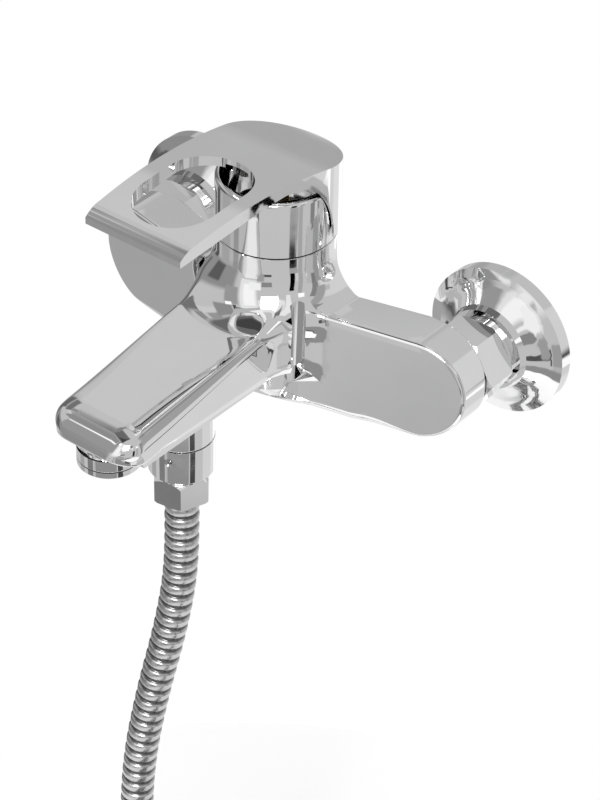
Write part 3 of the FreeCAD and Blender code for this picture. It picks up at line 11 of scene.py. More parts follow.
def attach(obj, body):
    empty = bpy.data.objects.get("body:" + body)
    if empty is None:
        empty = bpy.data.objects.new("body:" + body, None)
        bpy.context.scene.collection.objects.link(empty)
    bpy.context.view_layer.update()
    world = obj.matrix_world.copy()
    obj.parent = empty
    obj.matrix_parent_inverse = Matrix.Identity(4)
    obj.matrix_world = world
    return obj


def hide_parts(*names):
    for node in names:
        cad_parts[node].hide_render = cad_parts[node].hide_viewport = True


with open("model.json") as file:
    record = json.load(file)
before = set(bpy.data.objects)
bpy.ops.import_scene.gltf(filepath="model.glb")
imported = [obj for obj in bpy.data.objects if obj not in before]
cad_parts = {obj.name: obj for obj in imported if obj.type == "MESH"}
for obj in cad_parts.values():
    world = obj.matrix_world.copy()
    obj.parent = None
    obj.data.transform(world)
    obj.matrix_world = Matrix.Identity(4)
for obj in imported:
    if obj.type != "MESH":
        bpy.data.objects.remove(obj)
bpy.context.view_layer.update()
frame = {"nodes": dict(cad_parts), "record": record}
nodes = frame["nodes"]
print("frame loaded with", len(nodes), "CAD nodes")


class Socket:
    # wraps one output of a node tree, so that sums and products of sockets add Math nodes
    def __init__(self, tree, out=None):
        self.tree = tree
        self.out = out

    def node(self, kind, settings=None, values=None, output=0):
        # adds any node: its settings first, then the values or links of its inputs
        made = self.tree.nodes.new(kind)
        for name, value in (settings or {}).items():
            setattr(made, name, value)
        for name, value in (values or {}).items():
            if isinstance(value, Socket):
                self.tree.links.new(value.out, made.inputs[name])
            else:
                made.inputs[name].default_value = value
        return Socket(self.tree, made.outputs[output]) if len(made.outputs) else made

    def sibling(self, name):  # another output of the same node
        return Socket(self.tree, self.out.node.outputs[name])

    def maths(self, operation, *values):
        return self.node("ShaderNodeMath", {"operation": operation}, dict(enumerate(values)))

    def __add__(self, other):
        return self.maths("ADD", self, other)

    def __radd__(self, other):
        return self.maths("ADD", other, self)

    def __sub__(self, other):
        return self.maths("SUBTRACT", self, other)

    def __rsub__(self, other):
        return self.maths("SUBTRACT", other, self)

    def __mul__(self, other):
        return self.maths("MULTIPLY", self, other)

    def __rmul__(self, other):
        return self.maths("MULTIPLY", other, self)

    def ramp(self, low, high):  # 0 below low, 1 above high, smooth between
        values = {"Value": self, "From Min": low, "From Max": high}
        return self.node("ShaderNodeMapRange", {"interpolation_type": "SMOOTHSTEP"}, values)

    def blend(self, first, second):  # a colour between two, by this factor
        return self.node("ShaderNodeMix", {"data_type": "RGBA"}, {0: self, 6: first, 7: second}, 2)


# outputs of a Texture Coordinate node: the world's own direction, and a place in the object
worldWay, objectPlace = 0, 3

# each noise's detail and roughness, then the values between which its look changes over
noiseKinds = {
    "patch": (2.0, 0.5, 0.35, 0.65),
    "haze": (4.0, 0.6, 0.4, 0.75),
    "mottle": (3.0, 0.6, 0.3, 0.7),
    "gloss": (2.0, 0.5, 0.3, 0.7),
    "rub": (3.0, 0.6, 0.35, 0.7),
    "wave": (1.0, 0.5),
    "grain": (2.0, 0.7),
}
grainHeight = 0.0001  # in metres


def pattern(place, kind, scale):
    # a noise, as a share from 0 to 1 where its kind has values to change over between
    detail, rough, *steps = noiseKinds[kind]
    values = {"Vector": place, "Scale": scale, "Detail": detail, "Roughness": rough}
    noise = place.node("ShaderNodeTexNoise", None, values)
    return noise.ramp(*steps) if steps else noise


def newMaterial(name):
    material = bpy.data.materials.new(name)
    material.use_nodes = True
    material.node_tree.nodes.clear()
    start = Socket(material.node_tree)
    place = start.node("ShaderNodeTexCoord", output=objectPlace)
    return material, start, place


def finishMaterial(start, values):
    shader = start.node("ShaderNodeBsdfPrincipled", None, values)
    start.node("ShaderNodeOutputMaterial", None, {"Surface": shader})


def grey(level):
    return (level, level, level, 1)


def twoTones(facts):
    # a finish's colour made duller, and the colour itself
    dull = (level * facts["dull"] for level in facts["colour"])
    return (*dull, 1), (*facts["colour"], 1)


def metalFinish(name, facts):
    # faint patches of tone, wiping haze and a slow waviness of what lies below the polish
    material, start, place = newMaterial(name)
    patches = pattern(place, "patch", facts["patchScale"])
    haze = pattern(place, "haze", facts["hazeScale"])
    wave = pattern(place, "wave", facts["waveScale"])
    bump = {"Strength": facts["waveStrength"], "Distance": facts["waveHeight"], "Height": wave}
    normal = start.node("ShaderNodeBump", None, bump)
    finishMaterial(
        start,
        {
            "Base Color": patches.blend(*twoTones(facts)),
            "Metallic": 1.0,
            "Roughness": haze * facts["haze"] + facts["roughness"],
            "Normal": normal,
        },
    )
    return material


def mouldedFinish(name, facts):
    # moulded or pressed stuff: mottled colour, uneven gloss and a fine grain
    material, start, place = newMaterial(name)
    mottled = pattern(place, "mottle", facts["mottleScale"])
    gloss = pattern(place, "gloss", facts["glossScale"])
    grain = pattern(place, "grain", facts["grainScale"])
    bump = {"Strength": facts["grain"], "Distance": grainHeight, "Height": grain}
    normal = start.node("ShaderNodeBump", None, bump)
    finishMaterial(
        start,
        {
            "Base Color": mottled.blend(*twoTones(facts)),
            "Roughness": gloss * facts["glossSpread"] + facts["roughness"],
            "Normal": normal,
        },
    )
    return material


castChrome = metalFinish(
    "castChrome",
    {
        "colour": (0.87, 0.87, 0.872),
        "dull": 0.985,
        "patchScale": 60,
        "hazeScale": 90,
        "haze": 0.04,
        "roughness": 0.03,
        "waveScale": 28,
        "waveStrength": 0.2,
        "waveHeight": 0.0002,
    },
)
trimChrome = metalFinish(
    "trimChrome",
    {
        "colour": (0.87, 0.87, 0.872),
        "dull": 0.98,
        "patchScale": 50,
        "hazeScale": 120,
        "haze": 0.05,
        "roughness": 0.03,
        "waveScale": 20,
        "waveStrength": 0.12,
        "waveHeight": 0.0002,
    },
)
flangeChrome = metalFinish(
    "flangeChrome",
    {
        "colour": (0.86, 0.86, 0.865),
        "dull": 0.98,
        "patchScale": 45,
        "hazeScale": 140,
        "haze": 0.05,
        "roughness": 0.035,
        "waveScale": 34,
        "waveStrength": 0.35,
        "waveHeight": 0.0002,
    },
)
rawBrass = metalFinish(
    "rawBrass",
    {
        "colour": (0.72, 0.58, 0.32),
        "dull": 0.8,
        "patchScale": 140,
        "hazeScale": 300,
        "haze": 0.2,
        "roughness": 0.24,
        "waveScale": 900,
        "waveStrength": 0.3,
        "waveHeight": 0.00005,
    },
)
bareSteel = metalFinish(
    "bareSteel",
    {
        "colour": (0.55, 0.55, 0.56),
        "dull": 0.85,
        "patchScale": 200,
        "hazeScale": 400,
        "haze": 0.15,
        "roughness": 0.25,
        "waveScale": 1200,
        "waveStrength": 0.3,
        "waveHeight": 0.00004,
    },
)
sealRubber = mouldedFinish(
    "sealRubber",
    {
        "colour": (0.05, 0.05, 0.05),
        "dull": 0.7,
        "mottleScale": 300,
        "glossScale": 120,
        "glossSpread": 0.2,
        "roughness": 0.5,
        "grainScale": 2500,
        "grain": 0.5,
    },
)
cartridgePlastic = mouldedFinish(
    "cartridgePlastic",
    {
        "colour": (0.85, 0.85, 0.82),
        "dull": 0.95,
        "mottleScale": 120,
        "glossScale": 80,
        "glossSpread": 0.12,
        "roughness": 0.35,
        "grainScale": 1800,
        "grain": 0.25,
    },
)
insertPlastic = mouldedFinish(
    "insertPlastic",
    {
        "colour": (0.9, 0.9, 0.9),
        "dull": 0.94,
        "mottleScale": 160,
        "glossScale": 100,
        "glossSpread": 0.12,
        "roughness": 0.32,
        "grainScale": 1600,
        "grain": 0.2,
    },
)
discCeramic = mouldedFinish(
    "discCeramic",
    {
        "colour": (0.93, 0.92, 0.9),
        "dull": 0.97,
        "mottleScale": 400,
        "glossScale": 150,
        "glossSpread": 0.08,
        "roughness": 0.15,
        "grainScale": 3000,
        "grain": 0.1,
    },
)
tiePlastic = mouldedFinish(
    "tiePlastic",
    {
        "colour": (0.1, 0.1, 0.1),
        "dull": 0.75,
        "mottleScale": 220,
        "glossScale": 160,
        "glossSpread": 0.18,
        "roughness": 0.38,
        "grainScale": 1500,
        "grain": 0.4,
    },
)


def sleeveFinish(facts):
    # bright sleeve of the hose: satin crowns, with painted shade darkening the grooves between the
    # ribs
    material, start, place = newMaterial("sleeveMetal")
    height = start.node("ShaderNodeAttribute", {"attribute_name": "ribHeight"}, output=2)
    grooveShadeMask = height.ramp(*facts["grooveShadeSteps"])
    rub = pattern(place, "rub", facts["rubScale"])
    crown = rub.blend(grey(facts["tone"] * facts["dull"]), grey(facts["tone"]))
    finishMaterial(
        start,
        {
            # the grooves' base colour is painted shade, dark where the ribs dip
            "Base Color": grooveShadeMask.blend(grey(facts["grooveShade"]), crown),
            "Metallic": 1.0,
            "Roughness": rub * facts["rubbed"] + facts["roughness"],
        },
    )
    return material


sleeveMetal = sleeveFinish(
    {
        "tone": 0.6,
        "dull": 0.9,
        # painted shade in the grooves, and the rib heights over which it fades into the crowns
        "grooveShade": 0.16,
        "grooveShadeSteps": (0.1, 0.8),
        "rubScale": 220,
        "rubbed": 0.08,
        "roughness": 0.2,
    }
)

finishOf = {
    "body_chrome": castChrome,
    "trim_chrome": trimChrome,
    "flange_chrome": flangeChrome,
    "hose_metal": trimChrome,
    "brass": rawBrass,
    "steel": bareSteel,
    "rubber": sealRubber,
    "cartridge_plastic": cartridgePlastic,
    "insert_plastic": insertPlastic,
    "ceramic": discCeramic,
    "tie_plastic": tiePlastic,
}

shading = {
    "samePoint": 2e-6,  # points closer than this are one, in metres
    "creaseAngle": 24,  # edges sharper than this stay sharp, in degrees
    "faceWeight": 50,  # faces count by their area alone
}


def smoothShading(shown, facts):
    # joins the CAD faces, keeps the sharp edges, and lets the large faces set the normals
    join = shown.modifiers.new("join", "WELD")
    join.merge_threshold = facts["samePoint"]
    crease = shown.modifiers.new("crease", "EDGE_SPLIT")
    crease.split_angle = math.radians(facts["creaseAngle"])
    even = shown.modifiers.new("even", "WEIGHTED_NORMAL")
    even.mode = "FACE_AREA"
    even.weight = facts["faceWeight"]


# brass pieces that are plated where they show
platedNodes = (
    "cartridge_nut",
    "eccentric_hot",
    "eccentric_cold",
    "outlet_stem",
    "hose_ferrule",
    "hose_end_ferrule",
)

for row in frame["record"]["subparts"]:
    shown = nodes[row["node"]]
    shown.data.materials.clear()
    finish = trimChrome if row["node"] in platedNodes else finishOf[row["material_slot"]]
    shown.data.materials.append(finish)
    smoothShading(shown, shading)
print("finishes done")

leastLength = 1e-9  # stands in for a length of zero under a division


def unit(ways):
    # the same directions, each with a length of 1
    return ways / np.maximum(np.linalg.norm(ways, axis=1, keepdims=True), leastLength)


def newObject(name, data):
    made = bpy.data.objects.new(name, data)
    bpy.context.scene.collection.objects.link(made)
    return made


def newPiece(name, mesh, body, material):
    piece = newObject(name, mesh)
    mesh.materials.append(material)
    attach(piece, body)
    return piece


# the hose: its route is the control points of one smooth line, and its sleeve is ribbed all the way
hoseFacts = {
    "diameter": 0.014,
    "valley": 0.0059,  # radius in the grooves
    "ribPitch": 0.0057,
    "around": 24,  # points round the hose
    "length": 1.484,
    "coilRadius": 0.0778,
    "coilPitch": 0.0148,
    "coilTurns": 2.5,
    "pointsPerTurn": 18,
    "coilMiddle": 0.077,  # from the free stretch, along X
    "coilEndOut": 0.154,
    "coilEndShift": 0.006,
    "lead": 0.014,
    "endRun": 0.026,
    "endStart": 0.4,  # place of its first point, as a share of the run
    "stepsPerPoint": 16,
    "nearby": 0.0015,  # a direction is read this far to each side
    "freeRoute": [
        (0, -0.1055, -0.056),
        (0, -0.1055, -0.076),
        (-0.0009, -0.1064, -0.098),
        (-0.0039, -0.1094, -0.124),
        (-0.009, -0.1145, -0.156),
        (-0.0134, -0.1189, -0.192),
        (-0.0148, -0.1203, -0.228),
        (-0.0148, -0.1203, -0.258),
        (-0.0148, -0.1203, -0.288),
    ],
    "ribProfile": [  # share of the pitch, share of the rib's height
        (0.0, 0.0),
        (0.1, 0.3),
        (0.14, 0.86),
        (0.24, 1.0),
        (0.44, 0.97),
        (0.62, 0.9),
        (0.74, 0.78),
        (0.8, 0.3),
        (0.86, 0.0),
    ],
}


def hoseRoute(facts):
    points = np.array(facts["freeRoute"])
    begin = points[-1] - np.array([0, 0, facts["lead"]])
    count = round(facts["coilTurns"] * facts["pointsPerTurn"])
    angle = np.arange(count + 1) * 2 * math.pi / facts["pointsPerTurn"]
    # a turn is a circle in the XZ plane that drifts along -Y by its pitch
    coil = np.stack([-np.cos(angle), np.zeros(count + 1), -np.sin(angle)], 1) * facts["coilRadius"]
    coil[:, 0] += facts["coilMiddle"]
    coil[:, 1] -= facts["coilPitch"] * angle / (2 * math.pi)
    coil += begin
    coil[-1, 1] -= facts["coilEndShift"]
    coil[-1, 0] = begin[0] + facts["coilEndOut"]
    rise = np.array([[0, 0, facts["endStart"] * facts["endRun"]], [0, 0, facts["endRun"]]])
    return np.vstack([points, begin, coil[1:], coil[-1] + rise])


def smoothLine(points, steps):
    # a curve that bends evenly past the points, as the points along it
    data = bpy.data.curves.new("route", "CURVE")
    data.dimensions = "3D"
    data.resolution_u = steps
    spline = data.splines.new("NURBS")
    spline.points.add(len(points) - 1)
    spline.points.foreach_set("co", np.column_stack([points, np.ones(len(points))]).ravel())
    spline.order_u = 3
    spline.use_endpoint_u = True
    route = bpy.data.objects.new("route", data)
    flat = bpy.data.meshes.new_from_object(route)
    line = np.empty(len(flat.vertices) * 3)
    flat.vertices.foreach_get("co", line)
    bpy.data.objects.remove(route)
    bpy.data.meshes.remove(flat)
    return line.reshape(-1, 3)


def along(line, distances, nearby):
    # the points of a line at given lengths along it, and its directions there
    steps = np.linalg.norm(np.diff(line, axis=0), axis=1)
    reach = np.concatenate([[0], np.cumsum(steps)])

    def pointsAt(lengths):
        return np.stack([np.interp(lengths, reach, line[:, k]) for k in range(3)], 1)

    return pointsAt(distances), unit(pointsAt(distances + nearby) - pointsAt(distances - nearby))


def tubeMesh(name, centres, ways, radii, around):
    # each ring is centre + radius * (cos a * side + sin a * across), with side and across square
    # to the line; rings are joined by quads and the two ends are capped
    steady = np.array([0.0, 1.0, 0.0])
    side = unit(steady - ways * (ways @ steady)[:, None])
    across = np.cross(ways, side)
    turn = np.linspace(0, 2 * math.pi, around, endpoint=False)[None, :, None]
    ring = side[:, None, :] * np.cos(turn) + across[:, None, :] * np.sin(turn)
    grid = centres[:, None, :] + ring * radii[:, None, None]
    rings = len(centres)
    row, column = np.meshgrid(np.arange(rings - 1) * around, np.arange(around), indexing="ij")
    after = (column + 1) % around
    quads = np.stack([row + column, row + after, row + around + after, row + around + column], -1)
    ends = [list(range(around))[::-1], list(range((rings - 1) * around, rings * around))]
    mesh = bpy.data.meshes.new(name)
    mesh.from_pydata(grid.reshape(-1, 3).tolist(), [], quads.reshape(-1, 4).tolist() + ends)
    mesh.polygons.foreach_set("use_smooth", np.ones(len(mesh.polygons), bool))
    mesh.update()
    return mesh


def makeHose(facts):
    line = smoothLine(hoseRoute(facts), facts["stepsPerPoint"])
    total = np.linalg.norm(np.diff(line, axis=0), axis=1).sum()
    ribs = int(total / facts["ribPitch"])
    pitch = total / ribs
    share, height = np.array(facts["ribProfile"]).T
    distances = np.append((np.arange(ribs)[:, None] + share) * pitch, total)
    rise = np.append(np.tile(height, ribs), 0)
    radii = facts["valley"] + (facts["diameter"] / 2 - facts["valley"]) * rise
    centres, ways = along(line, distances, facts["nearby"])
    mesh = tubeMesh("hose", centres, ways, radii, facts["around"])
    level = mesh.attributes.new("ribHeight", "FLOAT", "POINT")
    level.data.foreach_set("value", np.repeat(rise, facts["around"]).astype(np.float32))
    hose = newPiece("hose", mesh, "mixer", sleeveMetal)
    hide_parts("hose_drop", "hose_coil")
    print(f"hose done: {total:.3f} m, {ribs} ribs, {len(mesh.polygons)} faces")


makeHose(hoseFacts)

# the casting's outer skin, in millimetres from the tower's axis: each form is a distance that is 0
# on its surface and below 0 inside. Two numbers for one blend or edge are its low and high value,
# and its fade is where it goes from one to the other
castFacts = {
    "axisReach": 49.5,  # from the wall to the tower's axis
    "tower": 23.8,  # radius
    "towerLow": -20,
    "towerFoot": 6,
    "barTop": 20.8,
    "barEnd": 90.2,
    "barEndLow": -19.8,
    "belly": -25.4,
    "bellySide": 44,
    "topCorner": 20.4,
    "lowCorner": 19,
    "barFront": 17.3,
    "sweep": 12.2,  # degrees
    "backs": ((34, 9), (63, 16.5)),  # places along X, and how far back the arms go there
    "backEdge": 0.6,
    "bellyCrease": 0.4,
    "barEdge": (1.3, 5.5),
    "barEdgeFade": ((4, 20), (-74, -50)),  # downwards, and towards the middle
    "spoutHalf": 20.7,
    # the spout's outline from the side, from the top of its root round its tip to its underside
    "spoutSide": ((0, 21), (-108, 8.8), (-110, -1.8), (-97, -8), (-86, -9.8), (0, -11.5)),
    "underBend": 8,
    "noseCorner": (7, 12),
    "noseFade": (-8, 3),
    "crownWidth": (4, 10.5),
    "crownDrop": (0.5, 2.3),
    "crownLip": (97, 11),  # where the top starts to fall to the lip, and over what length
    "crownFade": (30, 98),
    "spoutEdge": (3, 4.5),
    "keel": (11, 1),
    "keelFade": (86, 106),
    # two round bosses: place along -Y, radius, foot, edge and fillet
    "boss": (56, 12.9, -24, 0.5, 1.2),
    "seat": (96.5, 12.4, -9.9, 0.4, 0.8),
    "armBlend": 10,
    "spoutBlend": (13, 18),
    "spoutBlendFade": (8, 20),
    "slopeStep": 0.02,
    "longestPush": 1.5,
    "leastSlope": 0.3,
    "firstPushes": 2,
    "lastPushes": 5,
    "longest": (24, 12, 7, 5, 5, 5, 5, 5),  # the longest edge left by each round of cuts
    "shortest": 0.5,  # shorter edges aren't cut
    "bend": 5,  # most degrees between the ends of an edge
    "sag": 0.04,  # most that an edge's middle is off the surface
    "reach": 4.6,  # faces further off the surface aren't skin
    "lined": 0.2,  # nor are faces that are less in line with it than this
}


def roundedBoth(a, b, radius):
    # inside both forms, their edge rounded to a quarter circle
    corner = np.hypot(np.maximum(a + radius, 0), np.maximum(b + radius, 0))
    return np.minimum(-radius, np.maximum(a, b)) + corner


def roundedEither(a, b, radius):
    # inside either form, their inner corner filled by a quarter circle
    corner = np.hypot(np.maximum(radius - a, 0), np.maximum(radius - b, 0))
    return np.maximum(radius, np.minimum(a, b)) - corner


def easing(value, low, high):
    # 0 below low and 1 above high, with a soft start and end between
    share = np.clip((value - low) / (high - low), 0, 1)
    return share * share * (3 - 2 * share)


def between(pair, share):
    return pair[0] + (pair[1] - pair[0]) * share


def barForm(x, y, z, facts):
    # a flat-fronted bar: rounded outline in X and Z, swept front, stepped back
    side = np.abs(x)
    fall = math.atan2(facts["barEndLow"] - facts["belly"], facts["barEnd"] - facts["bellySide"])
    slanted = (facts["belly"] - z) * math.cos(fall) + (side - facts["bellySide"]) * math.sin(fall)
    under = roundedBoth(facts["belly"] - z, slanted, facts["bellyCrease"])
    outline = roundedBoth(side - facts["barEnd"], z - facts["barTop"], facts["topCorner"])
    outline = roundedBoth(outline, under, facts["lowCorner"])
    sweep = math.radians(facts["sweep"])
    front = (-y - facts["barFront"] + side * math.tan(sweep)) * math.cos(sweep)
    back = y - np.interp(side, *zip(*facts["backs"]))
    low, high = facts["barEdge"]
    down, inward = facts["barEdgeFade"]
    edge = low + (high - low) * easing(-z, *down) * easing(-side, *inward)
    return roundedBoth(roundedBoth(outline, front, edge), back, facts["backEdge"])


def spoutForm(x, y, z, facts):
    # a wide flat spout: planes through the corners of its side outline, all edges rounded
    planes = []
    corners = facts["spoutSide"]
    for (y0, z0), (y1, z1) in zip(corners, corners[1:]):
        run = math.hypot(y1 - y0, z1 - z0)
        planes.append(((y - y0) * (z0 - z1) + (z - z0) * (y1 - y0)) / -run)
    top, front, chin, keel, root = planes
    under = roundedBoth(roundedBoth(chin, keel, facts["underBend"]), root, facts["underBend"])
    nose = between(facts["noseCorner"], easing(-z, *facts["noseFade"]))
    plan = roundedBoth(np.abs(x) - facts["spoutHalf"], front, nose)
    whole = roundedBoth(plan, under, between(facts["keel"], easing(-y, *facts["keelFade"])))
    # the top falls away towards its sides and its lip, more and wider near the tip
    outward = easing(-y, *facts["crownFade"])
    width = between(facts["crownWidth"], outward)
    sideways = np.maximum((np.abs(x) - facts["spoutHalf"]) / width + 1, 0)
    lip, depth = facts["crownLip"]
    forward = np.maximum((-y - lip) / depth, 0)
    top = top + between(facts["crownDrop"], outward) * (sideways**2 + forward**2)
    return roundedBoth(whole, top, between(facts["spoutEdge"], outward))


def underRing(whole, points, ring):
    # adds a round boss that hangs under the casting: a short upright cylinder, filleted in
    x, y, z = points.T
    out, wide, foot, edge, fillet = ring
    boss = roundedBoth(np.hypot(x, y + out) - wide, foot - z, edge)
    return roundedEither(whole, np.maximum(boss, z), fillet)


def castForm(points, facts):
    # bar, tower and spout joined by wide fillets, and the two bosses under the spout
    x, y, z = points.T
    tower = np.hypot(x, y) - facts["tower"]
    tower = roundedBoth(tower, facts["towerLow"] - z, facts["towerFoot"])
    arms = roundedEither(barForm(x, y, z, facts), tower, facts["armBlend"])
    blend = between(facts["spoutBlend"], easing(z, *facts["spoutBlendFade"]))
    whole = roundedEither(arms, spoutForm(x, y, z, facts), blend)
    return underRing(underRing(whole, points, facts["boss"]), points, facts["seat"])


def slope(points, facts):
    # how the distance changes along each axis, which points out of the surface
    step = facts["slopeStep"]
    ways = []
    for axis in np.eye(3) * step:
        ways.append((castForm(points + axis, facts) - castForm(points - axis, facts)) / (2 * step))
    return np.stack(ways, 1)


def toMillimetres(mesh, facts):
    points = np.empty(len(mesh.vertices) * 3)
    mesh.vertices.foreach_get("co", points)
    return points.reshape(-1, 3) * 1000 + np.array([0, facts["axisReach"], 0])


def fromMillimetres(mesh, points, facts):
    metres = (points - np.array([0, facts["axisReach"], 0])) / 1000
    mesh.vertices.foreach_set("co", metres.ravel())
    mesh.update()


def skinFaces(points, mesh, facts):
    # triangles that lie near the skin and face the way it does; bores and rooms inside are left out
    corners = np.empty(len(mesh.polygons) * 3, np.int32)
    mesh.polygons.foreach_get("vertices", corners)
    corners = corners.reshape(-1, 3)
    a, b, c = (points[corners[:, k]] for k in range(3))
    middle = (a + b + c) / 3
    lined = (unit(np.cross(b - a, c - a)) * slope(middle, facts)).sum(1) > facts["lined"]
    near = np.abs(castForm(points, facts)) < facts["reach"]
    nearMiddle = np.abs(castForm(middle, facts)) < facts["reach"]
    return near[corners].all(1) & nearMiddle & lined, corners


def onSkin(points, steps, facts):
    # each step moves the points along the slope by their distance, until they lie on the surface
    for _ in range(steps):
        way = slope(points, facts)
        push = castForm(points, facts) / np.maximum((way * way).sum(1), facts["leastSlope"])
        limit = facts["longestPush"]
        points = points - np.clip(push, -limit, limit)[:, None] * way
    return points


def settle(mesh, steps, facts):
    # lays the skin's points on the surface, and gives all points, the numbers of the skin's
    # points, which faces are skin and the corners of all faces
    points = toMillimetres(mesh, facts)
    skin, corners = skinFaces(points, mesh, facts)
    moved = np.unique(corners[skin])
    points[moved] = onSkin(points[moved], steps, facts)
    fromMillimetres(mesh, points, facts)
    return points, moved, skin, corners


def splitWhereBent(mesh, longest, facts):
    # cuts edges that are too long, that turn too much from end to end or that leave the
    # surface between their ends
    points, moved = settle(mesh, facts["firstPushes"], facts)[:2]
    ends = np.empty(len(mesh.edges) * 2, np.int32)
    mesh.edges.foreach_get("vertices", ends)
    ends = ends.reshape(-1, 2)
    onIt = np.zeros(len(points), bool)
    onIt[moved] = True
    mine = np.flatnonzero(onIt[ends].all(1))
    first, last = points[ends[mine, 0]], points[ends[mine, 1]]
    length = np.linalg.norm(first - last, axis=1)
    normals = unit(slope(points, facts))
    alike = (normals[ends[mine, 0]] * normals[ends[mine, 1]]).sum(1)
    turned = alike < math.cos(math.radians(facts["bend"]))
    away = np.abs(castForm((first + last) / 2, facts)) > facts["sag"]
    cut = mine[(length > longest) | ((length > facts["shortest"]) & (turned | away))]
    work = bmesh.new()
    work.from_mesh(mesh)
    work.edges.ensure_lookup_table()
    bmesh.ops.subdivide_edges(work, edges=[work.edges[number] for number in cut], cuts=1)
    bmesh.ops.triangulate(work, faces=[face for face in work.faces if len(face.verts) > 3])
    work.to_mesh(mesh)
    work.free()


def makeCasting(facts):
    # a copy of the CAD's casting, cut finer where its skin bends and laid on the skin's surface
    mesh = nodes["mixer_body"].data.copy()
    mesh.name = "casting"
    work = bmesh.new()
    work.from_mesh(mesh)
    bmesh.ops.remove_doubles(work, verts=work.verts, dist=shading["samePoint"])
    bmesh.ops.triangulate(work, faces=work.faces)
    work.to_mesh(mesh)
    work.free()
    for longest in facts["longest"]:
        splitWhereBent(mesh, longest, facts)
    points, moved, skin, corners = settle(mesh, facts["lastPushes"], facts)
    away = np.abs(castForm(points[moved], facts)).max()
    normals = unit(slope(points, facts))
    mesh.polygons.foreach_set("use_smooth", np.ones(len(mesh.polygons), bool))
    flat = np.empty(len(mesh.polygons) * 3)
    mesh.polygons.foreach_get("normal", flat)
    corner = np.where(skin[:, None, None], normals[corners], flat.reshape(-1, 1, 3))
    mesh.normals_split_custom_set(corner.reshape(-1, 3))
    mesh.materials.clear()
    casting = newPiece("casting", mesh, "mixer", castChrome)
    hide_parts("mixer_body")
    print(f"casting done: {len(mesh.polygons)} faces, {len(moved)} skin points, {away:.3f} mm off")


makeCasting(castFacts)

# studio: what the plating mirrors, as soft boxes, cards and flags round the mixer, each over the
# ones before it. A panel is its bearings, its heights, the softness of its edges, all in degrees,
# and how bright it shows in the plating; bearing 0 is +Y and 90 is -X
studio = {
    "base": 0.74,  # where there is no panel
    "tone": 0.87,  # of the plating, which darkens what it mirrors
    "gamma": 2.2,  # from a shown level to light
    "plainLevel": 0.85,  # what lights surfaces that don't mirror
    "panels": [
        ((20, 46), (8, 42), 6, 0.69),  # rear card, behind the lever's top, and what hangs by it
        ((32, 50), (35, 42), 3, 0.76),
        ((44, 58), (38, 52), 3, 0.765),
        ((39, 46), (46, 51), 1, 0.52),
        ((20, 46), (-12, 1), 2, 0.92),
        ((20, 46), (1, 14), 6, 0.64),
        ((72, 150), (-32, 14), 10, 0.54),  # large flag on the left
        ((98, 121), (-26, 4), 5, 0.35),
        ((46, 62), (-22, 14), 5, 0.56),
        ((61, 82), (-22, 34), 5, 0.4),
        ((100, 124), (-42, -29), 5, 0.62),
        ((134, 146), (-34.6, -27), 3, 0.56),
        ((78, 90), (-37, -28), 2, 0.32),
        ((166, 180), (-42, -34.9), 6, 0.67),
        ((70, 170), (56, 90), 4, 0.4),  # dark ceiling on the left, with cards at its edge
        ((58, 80), (56, 60), 2, 0.5),
        ((118, 166), (61, 90), 4, 0.26),
        ((62, 92), (36, 48.5), 3, 0.44),
        ((92, 118), (44, 50), 2, 0.78),
        ((102, 121), (50, 57), 2, 0.58),
        ((78, 94), (49, 55), 2, 0.54),
        ((118, 146), (37, 54), 3, 0.54),
        ((136, 157), (6, 37), 4, 0.58),
        ((160, 187), (-14, 56), 4, 0.88),  # tall soft box in front
        ((166, 184), (-4, 38), 4, 0.96),
        ((188, 238), (28, 52), 3, 0.89),  # wide soft box round the camera
        ((137, 147), (33, 38), 1.5, 1.0),  # small lamps on its left, and a flag between them
        ((155, 169), (43, 50), 2, 1.15),
        ((148, 153), (38, 56), 1.5, 0.3),
        ((174, 194), (-9, 7), 2, 0.94),
        ((195, 212), (-11, 0), 1, 0.52),
        ((184, 212), (-30.8, -24.5), 1, 0.32),  # low cards in front
        ((187, 199), (-30, -13), 3, 0.6),
        ((147, 163), (-34.8, -27), 2, 0.7),
        ((140, 162), (-52, -37.2), 1, 0.46),
        ((172, 246), (-48, -37.1), 1, 0.54),
        ((172, 181), (-34.8, -25), 1, 0.6),
        ((183, 187), (-34.8, -25), 1, 0.38),
        ((246, 255), (-34.9, 8), 1, 0.03),  # upright gap between two cards
        ((245, 259), (-34.9, -33.4), 1, 0.03),
        ((257, 261), (-33.3, -14), 0.8, 0.8),
        ((245, 261), (-33.3, -30.2), 0.4, 0.62),
        ((262, 270), (-34.9, 17), 1, 0.63),
        ((250, 268), (-39.4, -36.8), 1, 0.27),
        ((246, 272), (-48, -39.9), 1, 0.88),
        ((286, 295), (-34.9, 26), 1.5, 0.5),  # tall cards on the right
        ((298, 345), (-50, 30), 3, 0.81),
        ((303, 311), (8, 18), 2, 0.71),
        ((268, 300), (-44, -38.5), 0.8, 0.69),
        ((308, 313), (-34.2, -25), 1.5, 0.4),
        ((320, 327), (-34, -25), 1, 1.0),
        ((317, 329), (-24, -13), 3, 0.3),
        ((293, 305), (4, 56), 3, 0.61),
        ((298, 313), (42, 56), 2, 0.54),
        ((330, 385), (65, 77), 3, 1.0),  # lamp high up behind
        ((320, 398), (60, 65), 1, 0.55),
        ((384, 400), (60, 61.5), 0.8, 0.1),
        ((222, 242), (-62, -46), 4, 0.25),  # flag under the camera
        ((338, 402), (-62, -22), 6, 0.86),  # low soft boxes behind
        ((360, 386), (-44, -20), 4, 1.0),
        ((233, 246), (31, 46), 3, 0.45),  # cards on the right of the camera
        ((239, 247), (19, 31), 1.5, 0.9),
        ((262, 276), (18, 27), 2, 1.0),
    ],
}


def within(offset, reach, soft):
    # 1 nearer to the middle than the reach and 0 past it, over a soft edge
    return offset.maths("ABSOLUTE", offset).ramp(reach + soft / 2, reach - soft / 2)


